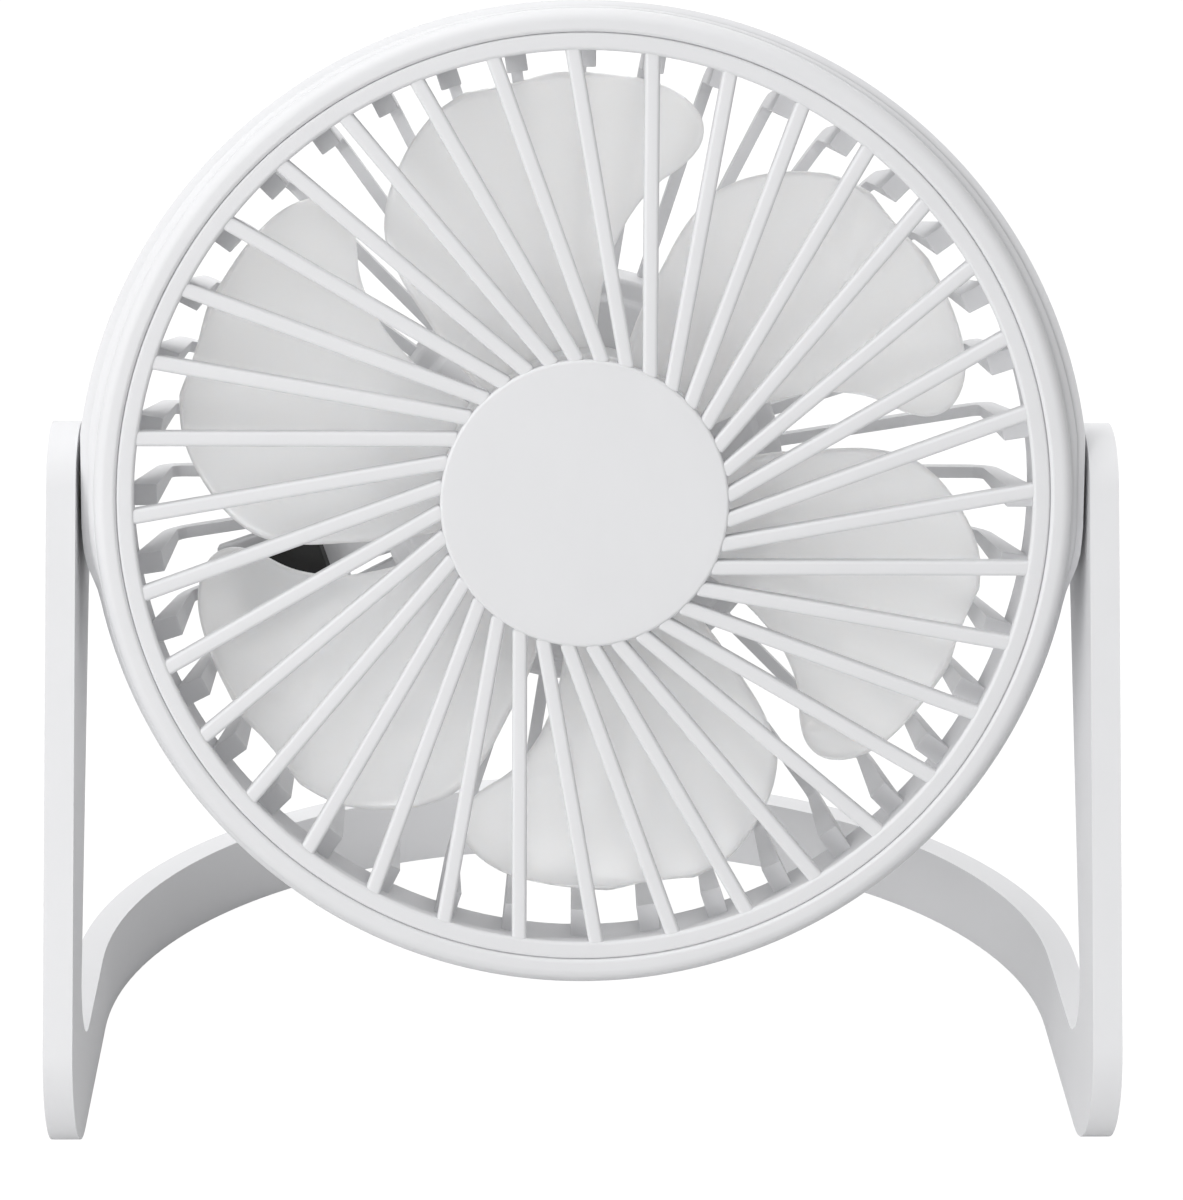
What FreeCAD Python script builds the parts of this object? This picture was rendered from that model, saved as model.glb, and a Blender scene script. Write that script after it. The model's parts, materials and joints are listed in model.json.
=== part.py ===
import FreeCAD, Part
import math
import os
import re

import Sketcher
from FreeCAD import Placement, Rotation, Vector

# A small desk fan: a round head that turns about two side pivots in a bent strap stand.
# The head's parts are drawn in the head's own frame: the pivots lie on X through the origin,
# the spindle on Y, and the air leaves towards -Y. The head is then tilted and lifted into place.
# The stand is drawn with the pivot axis as its origin too, then moved with it.

# alias, millimetres or degrees, what it is
DIMENSIONS = [
    ("overall_width", 150.0, "across the outsides of the two arms"),
    ("arm_thickness", 4.1, "wall of the strap that forms stand and arms"),
    ("pivot_height", 86.1, "floor to pivot axis"),
    ("pivot_forward", 13.85, "pivot axis ahead of the stand's middle"),
    ("arm_end_radius", 10.2, "round upper end of each arm"),
    ("arm_front_lean", 23.4, "front edge of an arm from the vertical"),
    ("arm_rear_lean", 29.8, "rear edge of an arm from the vertical"),
    ("foot_radius", 13.0, "rounded front corner of each foot"),
    ("foot_back", -28.8, "centre of that corner from the pivot axis"),
    ("band_height", 11.4, "height of the band that lies on the floor"),
    ("notch_radius", 7.5, "hollow corner between arm and band"),
    ("notch_back", -19.3, "centre of that corner from the pivot axis"),
    ("band_centre", 2.0, "centre of the band's oval from the pivot axis"),
    ("band_reach", 67.5, "outer half length of the band's oval"),
    ("screw_radius", 2.5, "shank of a pivot screw"),
    ("running_gap", 0.06, "radial clearance of a running fit"),
    ("screw_head_radius", 4.3, "head of a pivot screw"),
    ("cap_radius", 5.0, "cap over a pivot screw"),
    ("cap_thickness", 0.8, "cap over a pivot screw"),
    ("cap_seat_depth", 2.2, "seat of a cap and screw head below the arm's face"),
    ("screw_seat_depth", 2.1, "rear of a screw's head below the arm's face"),
    ("screw_hold", 4.5, "length of a pivot screw inside the casing"),
    ("slot_half_width", 0.45, "driver slot of a pivot screw"),
    ("slot_half_length", 2.6, "driver slot of a pivot screw"),
    ("washer_radius", 6.0, "friction washer of a pivot"),
    ("washer_thickness", 0.7, "friction washer of a pivot"),
    ("head_tilt", 12.0, "upward tilt of the head"),
    ("ring_radius", 68.4, "outside of the head's rounded front rim"),
    ("rim_tube", 1.65, "half thickness of the rounded front rim"),
    ("ring_front", 12.0, "front rim ahead of the pivot axis"),
    ("casing_radius", 69.3, "outside of the casing's band"),
    ("casing_bore", 64.9, "inside of the casing's band"),
    ("casing_back", 6.0, "rear edge of the casing behind the pivot axis"),
    ("casing_edge", 0.8, "chamfer of the casing's rear edge"),
    ("cheek_reach", 70.3, "flat of the casing's cheek at a pivot"),
    ("cheek_depth", 12.0, "depth of a cheek from front to rear"),
    ("cheek_seat", 0.4, "cheek's root outside the casing's bore"),
    ("cheek_flat_low", 7.5, "lower end of the flat below the pivot axis"),
    ("cheek_flat_high", 5.0, "upper end of the flat above the pivot axis"),
    ("cheek_low_angle", 11.5, "where the cheek meets the band below the pivot axis"),
    ("cheek_high_angle", 80.0, "where the cheek meets the band above the pivot axis"),
    ("cheek_root_angle", 77.0, "upper end of the cheek's root"),
    ("cheek_turn", 12.0, "arc that turns the cheek in below"),
    ("cheek_swell", 71.2, "arc that fades the cheek into the band above"),
    ("grille_radius", 64.7, "outside of the front grille's ring"),
    ("grille_bore", 62.6, "inside of the front grille's ring"),
    ("grille_front", 11.8, "front grille ahead of the pivot axis"),
    ("grille_back", 7.2, "rear of the front grille's ring ahead of the pivot axis"),
    ("grille_depth", 3.0, "depth of the front ribs"),
    ("grille_edge", 0.5, "chamfers of the front grille"),
    ("rib_set_back", 0.2, "front ribs behind the ring's face"),
    ("rib_root", 2.6, "front rib's overlap with the disc"),
    ("disc_radius", 20.2, "centre disc of the front grille"),
    ("disc_rise", 0.1, "centre disc ahead of the ring"),
    ("disc_wall", 1.6, "skirt of the centre disc"),
    ("disc_floor", 2.0, "rear of the disc's plate behind the grille's face"),
    ("rib_offset", 9.0, "front rib's distance from the spindle's axis"),
    ("rib_width", 2.1, "width of a front rib"),
    ("rib_count", 36, "front ribs"),
    ("cage_radius", 63.5, "outside of the rear ribs"),
    ("cage_bore", 60.9, "inside of the rear ribs"),
    ("cage_ring_bore", 62.8, "inside of the cage's mounting ring"),
    ("cage_ring_front", 6.9, "cage's mounting ring ahead of the pivot axis"),
    ("cage_rib_front", 2.0, "front end of a rear rib ahead of the pivot axis"),
    ("cage_back", 28.0, "rear face of the rear ribs"),
    ("cage_corner", 4.1, "rounded outer corner of a rear rib"),
    ("cage_corner_reach", 4.8, "start of that corner from the outline's corner"),
    ("cage_corner_draft", 1.8, "rear rib's outer face drawn in at the corner"),
    ("cage_rib_depth", 3.3, "depth of a rear rib where it runs inwards"),
    ("cage_rib_width", 1.7, "width of a rear rib"),
    ("cage_rib_count", 40, "rear ribs"),
    ("tab_width", 2.5, "wider root of a rear rib at the ring"),
    ("tab_front", 2.4, "front end of that root ahead of the pivot axis"),
    ("tab_back", 0.4, "rear end of that root behind the pivot axis"),
    ("cup_radius", 30.5, "outside of the motor cup"),
    ("cup_wall", 1.7, "wall of the motor cup"),
    ("cup_front", 15.0, "front face of the motor cup"),
    ("cup_floor", 3.2, "thickness of the motor cup's stepped floor"),
    ("cup_step", 1.4, "step in the motor cup's front face"),
    ("cup_edge", 0.8, "chamfer of the motor cup's rear edge"),
    ("cup_back", 29.3, "rear face of the motor cup's cover"),
    ("cover_thickness", 2.0, "motor cup's cover"),
    ("cover_screw_circle", 23.5, "radius of the cover screws' circle"),
    ("cover_post_radius", 3.2, "post that a cover screw goes into"),
    ("cover_pilot_radius", 1.25, "hole in that post"),
    ("cover_pilot_depth", 7.0, "depth of that hole"),
    ("cover_hole_radius", 1.6, "cover's clearance hole for a screw"),
    ("cover_shank_radius", 1.2, "shank of a cover screw"),
    ("cover_shank_depth", 6.0, "cover screw's length below the cover"),
    ("cover_head_radius", 2.7, "head of a cover screw"),
    ("cover_head_height", 1.5, "head of a cover screw"),
    ("cross_depth", 0.8, "cross recess in a cover screw"),
    ("board_post_radius", 1.6, "post that holds the control board"),
    ("board_post_across", 8.5, "that post from the middle"),
    ("board_post_low", 2.0, "that post below the spindle's axis"),
    ("board_front", 6.4, "front of the control board from the cup's rear"),
    ("board_thickness", 1.2, "control and driver boards"),
    ("inlet_height", 10.0, "inlet's middle below the spindle's axis"),
    ("inlet_half_width", 4.5, "outside of the inlet's shell"),
    ("inlet_half_height", 1.6, "outside of the inlet's shell"),
    ("inlet_wall", 0.4, "wall of the inlet's shell"),
    ("inlet_depth", 5.2, "front of the inlet's shell from the cup's rear"),
    ("tongue_half_width", 3.2, "tongue in the inlet"),
    ("tongue_half_height", 0.35, "tongue in the inlet"),
    ("window_gap", 0.5, "inlet's window around its shell"),
    ("vent_low", 2.5, "lowest vent above the spindle's axis"),
    ("vent_pitch", 3.4, "from one vent to the next"),
    ("vent_height", 1.5, "height of a vent"),
    ("vent_half", 11.0, "half width of the lowest vent"),
    ("vent_taper", 1.1, "by which each next vent's half width is less"),
    ("hub_radius", 20.0, "outside of the impeller's hub"),
    ("hub_wall", 1.8, "wall of the impeller's hub"),
    ("hub_front", -2.5, "front face of the hub"),
    ("hub_back", 14.0, "rear edge of the hub"),
    ("boss_radius", 4.0, "hub's boss around the shaft"),
    ("boss_depth", 5.6, "boss from the hub's front face"),
    ("blade_count", 6, "blades"),
    ("blade_thickness", 1.5, "blade at its middle"),
    ("blade_centre", 6.0, "middle of the blades behind the pivot axis"),
    ("blade_pitch", 16.5, "advance of the blade surface per radian"),
    ("shaft_radius", 1.5, "motor shaft"),
    ("shaft_back", 21.0, "rear end of the motor shaft"),
    ("clip_radius", 3.0, "outside of the shaft's clip"),
    ("clip_front", 19.0, "front face of the shaft's clip"),
    ("clip_thickness", 0.6, "shaft's clip"),
    ("bearing_radius", 3.3, "outside of the sleeve bearings"),
    ("bearing_tube_radius", 4.6, "outside of the brass bearing tube"),
    ("bearing_length", 4.6, "sleeve bearings"),
    ("magnet_bore", 15.3, "inside of the ring magnet"),
    ("yoke_bore", 17.3, "inside of the steel yoke"),
    ("yoke_back", 13.2, "rear edge of the steel yoke"),
    ("core_radius", 14.6, "outside of the stator core"),
    ("core_front", 4.0, "front of the stator core"),
    ("core_back", 11.0, "rear of the stator core"),
    ("core_ring_radius", 7.0, "ring of the stator core"),
    ("core_arm_half", 1.7, "half width of an arm of the core"),
    ("shoe_bore", 12.4, "inside of an arm's curved shoe"),
    ("shoe_angle", 34.0, "half angle of a shoe"),
    ("coil_half", 3.4, "half width of a winding"),
    ("coil_end", 1.2, "winding beyond the core at each end"),
    ("driver_radius", 13.6, "round driver board"),
    ("driver_front", 12.5, "front of the driver board"),
    ("switch_reach", 46.0, "power switch from the spindle's axis"),
    ("switch_angle", 199.0, "power switch about the spindle, from +X towards +Z"),
    ("switch_long", 13.0, "length of the switch body"),
    ("switch_wide", 9.0, "width of the switch body"),
    ("switch_depth", 9.5, "switch body ahead of the cage's rear face"),
    ("switch_lip", 2.2, "frame around the switch body"),
    ("flange_lip", 1.2, "flange around the switch body"),
    ("flange_thickness", 0.9, "flange of the switch body"),
    ("channel_half", 2.4, "half width of the lead channel"),
    ("well_gap", 0.35, "rocker's clearance at each end of its well"),
    ("well_half", 3.4, "half width of the rocker's well"),
    ("rocker_drop", 0.6, "rocker's axis ahead of the cage's rear face"),
    ("rocker_radius", 5.0, "rocker's end arcs about its own axis"),
    ("rocker_width", 6.2, "width of the rocker"),
    ("rocker_low_angle", 16.0, "end arc below the rocker's axis"),
    ("rocker_high_angle", 20.0, "end arc above the rocker's axis"),
    ("pin_radius", 0.8, "rocker's pins"),
    ("pin_length", 7.9, "across both of the rocker's pins"),
    ("pin_seat", 8.2, "across both of the pins' holes"),
    ("rocker_rest", 10.0, "half of the rocker's throw"),
]

FULL_TURN = 360.0
SCREW_COUNT = 3
COIL_COUNT = 4
VENT_COUNT = 5

document = FreeCAD.newDocument("DeskFan")
sheet = document.addObject("Spreadsheet::Sheet", "Dims")


def fill_sheet():
    """Write every driving dimension into the sheet under its alias."""
    for row, (alias, value, meaning) in enumerate(DIMENSIONS, start=1):
        sheet.set(f"A{row}", meaning)
        sheet.set(f"B{row}", str(value))
        sheet.setAlias(f"B{row}", alias)
    document.recompute()


def bound(text):
    """Point every alias in an expression at the sheet."""
    return re.sub(r"[a-z]+_[a-z_]+", lambda word: "Dims." + word.group(0), str(text))


def number(text):
    """The present value of an expression."""
    return float(document.getObject("Probe").evalExpression(bound(text)))


def bind(thing, **properties):
    """Bind properties of a feature to expressions."""
    for name, text in properties.items():
        thing.setExpression(name, bound(text))


def origin_part(body, role):
    """One plane or axis of a body's own origin."""
    return next(part for part in body.Origin.OriginFeatures if part.Role == role)


def new_body(label):
    """An empty body whose label names the sub-part."""
    body = document.addObject("PartDesign::Body", label)
    body.Label = label
    return body


def outline(body, name, plane, corners, lift=None):
    """Sketch a closed outline of straight and round edges on an origin plane.

    A corner is (across, up) or (across, up, radius): a radius makes the edge that leaves the
    corner an arc, turning left when it is positive and right when it is negative.
    """
    sketch = body.newObject("Sketcher::SketchObject", name)
    sketch.AttachmentSupport = (origin_part(body, plane), "")
    sketch.MapMode = "FlatFace"
    if lift is not None:
        bind(sketch, **{"AttachmentOffset.Base.z": lift})
    spots = [Vector(number(corner[0]), number(corner[1]), 0) for corner in corners]
    ends = []
    for index, corner in enumerate(corners):
        start = spots[index]
        finish = spots[(index + 1) % len(spots)]
        if len(corner) == 2:
            sketch.addGeometry(Part.LineSegment(start, finish))
            ends.append((1, 2))
            continue
        left = not corner[2].startswith("-")
        sketch.addGeometry(arc_between(start, finish, number(corner[2].lstrip("-")), left))
        ends.append((1, 2) if left else (2, 1))
    for index, corner in enumerate(corners):
        before = (index - 1) % len(corners)
        sketch.addConstraint(
            Sketcher.Constraint("Coincident", before, ends[before][1], index, ends[index][0])
        )
        pin_corner(sketch, index, ends[index][0], corner, spots[index])
        if len(corner) == 3:
            radius = corner[2].lstrip("-")
            row = sketch.addConstraint(Sketcher.Constraint("Radius", index, number(radius)))
            bind(sketch, **{f"Constraints[{row}]": radius})
    return sketch


def pin_corner(sketch, edge, end, corner, spot):
    """Hold one corner at its two bound distances from the sketch's origin."""
    for kind, value, text in (("DistanceX", spot.x, corner[0]), ("DistanceY", spot.y, corner[1])):
        row = sketch.addConstraint(Sketcher.Constraint(kind, edge, end, value))
        bind(sketch, **{f"Constraints[{row}]": text})


def arc_between(start, finish, radius, left):
    """The shorter arc of a given radius from one point to another."""
    chord = finish - start
    middle = (start + finish) * 0.5
    across = Vector(-chord.y, chord.x, 0).normalize()
    rise = math.sqrt(max(radius**2 - (chord.Length / 2) ** 2, 0.0))
    centre = middle + across * (rise if left else -rise)
    first, last = (start, finish) if left else (finish, start)
    begin = math.atan2(first.y - centre.y, first.x - centre.x)
    end = math.atan2(last.y - centre.y, last.x - centre.x)
    return Part.ArcOfCircle(Part.Circle(centre, Vector(0, 0, 1), radius), begin, end)


def ring_sketch(body, name, plane, centre, radius):
    """Sketch one circle on an origin plane."""
    sketch = body.newObject("Sketcher::SketchObject", name)
    sketch.AttachmentSupport = (origin_part(body, plane), "")
    sketch.MapMode = "FlatFace"
    spot = Vector(number(centre[0]), number(centre[1]), 0)
    sketch.addGeometry(Part.Circle(spot, Vector(0, 0, 1), number(radius)))
    pin_corner(sketch, 0, 3, centre, spot)
    row = sketch.addConstraint(Sketcher.Constraint("Radius", 0, number(radius)))
    bind(sketch, **{f"Constraints[{row}]": radius})
    return sketch


def revolve(body, sketch, kind="PartDesign::Revolution"):
    """Turn a profile once about the body's Y axis."""
    feature = body.newObject(kind, sketch.Name + "Turn")
    feature.Profile = sketch
    feature.ReferenceAxis = (sketch, ["V_Axis"])
    feature.Angle = FULL_TURN
    return feature


def pad(body, sketch, length, kind="PartDesign::Pad", middle=True, reverse=False):
    """Raise or cut a profile by a bound length, both ways from its plane unless told otherwise."""
    feature = body.newObject(kind, sketch.Name + "Pad")
    feature.Profile = sketch
    feature.SideType = "Symmetric" if middle else "One side"
    feature.Reversed = reverse
    bind(feature, Length=length)
    return feature


def polar(body, features, count):
    """Repeat features about the body's Y axis."""
    pattern = body.newObject("PartDesign::PolarPattern", features[0].Name + "Round")
    pattern.Originals = features
    pattern.Axis = (origin_part(body, "Y_Axis"), [""])
    pattern.Angle = FULL_TURN
    bind(pattern, Occurrences=count)
    body.Tip = pattern
    return pattern


def tube(label, outer, inner, front, back):
    """A plain ring about the spindle's axis; an inner radius of 0 makes it solid."""
    body = new_body(label)
    revolve(body, outline(body, label + "_profile", "XY_Plane", [
        (inner, front), (outer, front), (outer, back), (inner, back),
    ]))
    return body


def rod(body, name, centre, radius, front, back, kind="PartDesign::Pad"):
    """A round post or hole along Y at a place in the X-Z plane, from front to back."""
    sketch = ring_sketch(body, name, "XZ_Plane", centre, radius)
    bind(sketch, **{"AttachmentOffset.Base.z": f"-({front})"})
    return pad(body, sketch, f"({back}) - ({front})", kind, middle=False,
               reverse=kind == "PartDesign::Pad")


def block(body, name, across, depth, height, kind="PartDesign::Pad"):
    """A box given by its two ends along X, Y and Z, each end a bound value."""
    sketch = outline(body, name, "XZ_Plane", [
        (across[0], height[0]), (across[1], height[0]),
        (across[1], height[1]), (across[0], height[1]),
    ], lift=f"-({depth[0]})")
    return pad(body, sketch, f"({depth[1]}) - ({depth[0]})", kind, middle=False,
               reverse=kind == "PartDesign::Pad")


# ---------------------------------------------------------------- places in the assembly

def stand_place():
    """Where the pivot axis lies above the floor."""
    return Placement(Vector(0, -number("pivot_forward"), number("pivot_height")), Rotation())


def head_place():
    """The head, tilted up about the pivot axis."""
    tilt = Rotation(Vector(1, 0, 0), -number("head_tilt"))
    return Placement(stand_place().Base, tilt)


# ---------------------------------------------------------------- stand

def oval_block(label, half_width, reach):
    """A straight block with an oval rear end: the strap's plan, filled."""
    oval = document.addObject("Part::Ellipse", label + "_oval")
    bind(oval, MajorRadius=half_width, MinorRadius=reach)
    bind(oval, **{"Placement.Base.y": "band_centre"})
    bind(oval, **{"Placement.Base.z": "-pivot_height"})
    rear = document.addObject("Part::Extrusion", label + "_rear")
    rear.Base = oval
    rear.Solid = True
    rear.Dir = Vector(0, 0, 1)
    bind(rear, LengthFwd="pivot_height + 2 * arm_end_radius")
    straight = document.addObject("Part::Box", label + "_straight")
    bind(straight, Length=f"2 * ({half_width})", Width="pivot_height",
         Height="pivot_height + 2 * arm_end_radius")
    bind(straight, **{
        "Placement.Base.x": f"-({half_width})",
        "Placement.Base.y": "band_centre - pivot_height",
        "Placement.Base.z": "-pivot_height",
    })
    both = document.addObject("Part::Fuse", label)
    both.Base = straight
    both.Tool = rear
    return both


def side_profile():
    """The strap seen from the side: foot corner, leaning arm, round end, notch and band."""
    body = new_body("side_profile")
    front = "arm_front_lean"
    rear = "arm_rear_lean"
    foot_up = "foot_radius - pivot_height"
    notch_up = "band_height + notch_radius - pivot_height"
    corners = [
        ("foot_back", "-pivot_height"),
        ("band_centre + band_reach + 1", "-pivot_height"),
        ("band_centre + band_reach + 1", "band_height - pivot_height"),
        ("notch_back", "band_height - pivot_height", "-notch_radius"),
        (f"notch_back - notch_radius * cos({rear})", f"{notch_up} + notch_radius * sin({rear})"),
        (f"arm_end_radius * cos({rear})", f"-arm_end_radius * sin({rear})", "arm_end_radius"),
        ("0", "arm_end_radius", "arm_end_radius"),
        (f"-arm_end_radius * cos({front})", f"arm_end_radius * sin({front})"),
        (f"foot_back - foot_radius * cos({front})", f"{foot_up} + foot_radius * sin({front})",
         "foot_radius"),
    ]
    pad(body, outline(body, "side_outline", "YZ_Plane", corners), "overall_width + 10")
    return body


def pivot_bores(body_label):
    """The stepped holes through both arms: screw bore, washer seat and cap seat."""
    inner = "overall_width / 2 - arm_thickness"
    body = new_body(body_label)
    steps = [
        ("bore", "screw_radius + running_gap", "0", "overall_width"),
        ("washer_seat", "washer_radius + running_gap", "0", f"{inner} + washer_thickness"),
    ]
    for name, radius, start, end in steps:
        sketch = ring_sketch(body, name, "YZ_Plane", ("0", "0"), radius)
        pad(body, sketch, f"2 * ({end})" if start == "0" else end)
    for side, name in ((1, "right"), (-1, "left")):
        sketch = ring_sketch(body, "cap_seat_" + name, "YZ_Plane", ("0", "0"), "cap_radius")
        bind(sketch, **{"AttachmentOffset.Base.z": f"{side} * (overall_width / 2 - cap_seat_depth)"})
        pad(body, sketch, "5", middle=False, reverse=side < 0)
    return body


def stand():
    """The strap: plan wall and side profile in common, with the pivot holes cut."""
    inner_half = "overall_width / 2 - arm_thickness"
    wall = document.addObject("Part::Cut", "plan_wall")
    wall.Base = oval_block("plan_outer", "overall_width / 2", "band_reach")
    wall.Tool = oval_block("plan_inner", inner_half, "band_reach - arm_thickness")
    strap = document.addObject("Part::Common", "strap")
    strap.Base = wall
    strap.Tool = side_profile()
    drilled = document.addObject("Part::Cut", "stand")
    drilled.Base = strap
    drilled.Tool = pivot_bores("pivot_holes")
    drilled.Label = "stand"
    return drilled


def side_disc(label, side, radius, bore, start, end):
    """A disc or ring about the pivot axis between two distances from the middle."""
    body = new_body(label)
    sketch = ring_sketch(body, label + "_edge", "YZ_Plane", ("0", "0"), radius)
    bind(sketch, **{"AttachmentOffset.Base.z": f"{side} * ({start})"})
    pad(body, sketch, f"({end}) - ({start})", middle=False, reverse=side < 0)
    if bore is not None:
        hole = ring_sketch(body, label + "_hole", "YZ_Plane", ("0", "0"), bore)
        pad(body, hole, "2 * overall_width", "PartDesign::Pocket")
    return body


def pivot_screw(label, side):
    """A shoulder screw: its head lies in the arm, its shank ends in the casing's cheek."""
    body = side_disc(label, side, "screw_head_radius", None,
                     "overall_width / 2 - screw_seat_depth",
                     "overall_width / 2 - cap_thickness - 0.1")
    shank = ring_sketch(body, label + "_shank", "YZ_Plane", ("0", "0"), "screw_radius")
    bind(shank, **{"AttachmentOffset.Base.z": f"{side} * (cheek_reach - screw_hold)"})
    pad(body, shank, "overall_width / 2 - screw_seat_depth - cheek_reach + screw_hold",
        middle=False, reverse=side < 0)
    slot = outline(body, label + "_slot", "YZ_Plane", [
        ("-slot_half_width", "-slot_half_length"), ("slot_half_width", "-slot_half_length"),
        ("slot_half_width", "slot_half_length"), ("-slot_half_width", "slot_half_length"),
    ], lift=f"{side} * (overall_width / 2 - cap_thickness - 0.6)")
    pad(body, slot, "1", "PartDesign::Pocket", middle=False, reverse=side > 0)
    return body


# ---------------------------------------------------------------- head: casing and grilles

def casing_ring():
    """The casing: a rounded front rim, a plain band and a flat cheek at each pivot."""
    body = new_body("casing_ring")
    rim_centre = ("ring_radius - rim_tube", "rim_tube - ring_front")
    revolve(body, outline(body, "casing_band", "XY_Plane", [
        ("casing_bore", "rim_tube - ring_front"),
        ("casing_radius", "rim_tube - ring_front"),
        ("casing_radius", "casing_back - casing_edge"),
        ("casing_radius - casing_edge", "casing_back"),
        ("casing_bore", "casing_back"),
    ]))
    revolve(body, ring_sketch(body, "casing_rim", "XY_Plane", rim_centre, "rim_tube"))
    for side, name in ((1, "right"), (-1, "left")):
        cheek(body, side, "cheek_" + name)
        hole = ring_sketch(body, "cheek_hole_" + name, "YZ_Plane", ("0", "0"), "screw_radius")
        bind(hole, **{"AttachmentOffset.Base.z": f"{side} * (cheek_reach - screw_hold)"})
        pad(body, hole, "10", "PartDesign::Pocket", middle=False, reverse=side > 0)
    return body


def cheek(body, side, name):
    """A cheek seen from the front: it swells from the band to a flat and turns in below."""
    out = f"{side} * cheek_reach"
    root = f"{side} * (casing_bore + cheek_seat)"
    band = f"{side} * casing_radius"
    outward, inward = ("", "-") if side > 0 else ("-", "")
    corners = [
        (f"{root} * cos(cheek_low_angle)",
         "-(casing_bore + cheek_seat) * sin(cheek_low_angle)"),
        (f"{band} * cos(cheek_low_angle)", "-casing_radius * sin(cheek_low_angle)",
         f"{outward}cheek_turn"),
        (out, "-cheek_flat_low"),
        (out, "cheek_flat_high", f"{outward}cheek_swell"),
        (f"{band} * cos(cheek_high_angle)", "casing_radius * sin(cheek_high_angle)"),
        (f"{root} * cos(cheek_root_angle)",
         "(casing_bore + cheek_seat) * sin(cheek_root_angle)",
         f"{inward}(casing_bore + cheek_seat)"),
    ]
    return pad(body, outline(body, name, "XZ_Plane", corners), "cheek_depth")


def front_grille():
    """Ring, centre disc and slanted ribs in one moulding."""
    body = new_body("front_grille")
    front = "-grille_front"
    rib_front = f"{front} + rib_set_back"
    rib_back = f"{front} + rib_set_back + grille_depth"
    revolve(body, outline(body, "grille_ring", "XY_Plane", [
        ("grille_bore", f"{front} + grille_edge"),
        ("grille_bore + grille_edge", front),
        ("grille_radius - grille_edge", front),
        ("grille_radius", f"{front} + grille_edge"),
        ("grille_radius", "-grille_back"),
        ("grille_bore", "-grille_back"),
    ]))
    revolve(body, outline(body, "grille_disc", "XY_Plane", [
        ("0", f"{front} - disc_rise"),
        ("disc_radius - grille_edge", f"{front} - disc_rise"),
        ("disc_radius", f"{front} - disc_rise + grille_edge"),
        ("disc_radius", rib_back),
        ("disc_radius - disc_wall", rib_back),
        ("disc_radius - disc_wall", f"{front} + disc_floor"),
        ("0", f"{front} + disc_floor"),
    ]))
    rib = outline(body, "front_rib", "XY_Plane", [
        ("disc_radius - rib_root", rib_front), ("grille_bore + rib_set_back", rib_front),
        ("grille_bore + rib_set_back", rib_back), ("disc_radius - rib_root", rib_back),
    ], lift="-rib_offset")
    polar(body, [pad(body, rib, "rib_width")], "rib_count")
    return body


def screw_spot(index):
    """Where a cover screw stands in the X-Z plane; the first is at the top."""
    angle = 90 + FULL_TURN / SCREW_COUNT * index
    return f"cover_screw_circle * cos({angle})", f"cover_screw_circle * sin({angle})"


def cage_rib_corners():
    """A rear rib from the side: along the casing, round the corner, in to the motor cup."""
    inner_back = "cage_back - cage_rib_depth"
    return [
        ("cage_bore", "-cage_rib_front"),
        ("cage_radius", "-cage_rib_front"),
        ("cage_radius - cage_corner_draft", "cage_back - cage_corner_reach", "cage_corner"),
        ("cage_radius - cage_corner_reach", "cage_back"),
        ("cup_radius - cup_wall / 2", "cage_back"),
        ("cup_radius - cup_wall / 2", inner_back),
        ("cage_bore - cage_rib_depth", inner_back),
        ("cage_bore - cage_corner_draft", f"{inner_back} - cage_rib_depth + cage_corner_draft"),
    ]


def rear_grille():
    """Rear ribs, their mounting ring, the motor cup and the frame around the switch."""
    body = new_body("rear_grille")
    revolve(body, outline(body, "cage_ring", "XY_Plane", [
        ("cage_ring_bore", "-cage_ring_front"), ("casing_bore - 0.1", "-cage_ring_front"),
        ("casing_bore - 0.1", "casing_back - 1"), ("cage_ring_bore", "casing_back - 1"),
    ]))
    revolve(body, outline(body, "cup_profile", "XY_Plane", [
        ("bearing_tube_radius", "cup_front"),
        ("cup_radius - 4", "cup_front"),
        ("cup_radius - 4 + cup_step", "cup_front + cup_step"),
        ("cup_radius - 1.2", "cup_front + cup_step"),
        ("cup_radius", "cup_front + cup_step + 1.2"),
        ("cup_radius", "cup_back - cup_edge"),
        ("cup_radius - cup_edge", "cup_back"),
        ("cup_radius - cup_wall", "cup_back"),
        ("cup_radius - cup_wall", "cup_front + cup_floor"),
        ("bearing_tube_radius", "cup_front + cup_floor"),
    ]))
    rib = pad(body, outline(body, "cage_rib", "XY_Plane", cage_rib_corners()), "cage_rib_width")
    tab = pad(body, outline(body, "cage_tab", "XY_Plane", [
        ("cage_bore - 0.3", "-tab_front"), ("cage_radius - 0.2", "-tab_front"),
        ("cage_radius - 0.2", "tab_back"), ("cage_bore - 0.3", "tab_back"),
    ]), "tab_width")
    polar(body, [rib, tab], "cage_rib_count")
    plate = "cup_back - cover_thickness"
    for index in range(SCREW_COUNT):
        centre = screw_spot(index)
        rod(body, f"cover_post_{index + 1}", centre, "cover_post_radius", "cup_front + 2", plate)
        rod(body, f"cover_pilot_{index + 1}", centre, "cover_pilot_radius",
            f"{plate} - cover_pilot_depth", f"{plate} + 1", "PartDesign::Pocket")
    for name, side in (("left", "-"), ("right", "")):
        spot = (f"{side}board_post_across", "-board_post_low")
        rod(body, "board_post_" + name, spot, "board_post_radius", "cup_front + 2",
            "cup_back - board_front")
    switch_frame(body)
    return body


def turned(across, along):
    """A point beside the switch's middle, turned to the switch's angle; X then Z."""
    return (
        f"({across}) * cos(switch_angle) - ({along}) * sin(switch_angle)",
        f"({across}) * sin(switch_angle) + ({along}) * cos(switch_angle)",
    )


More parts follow.
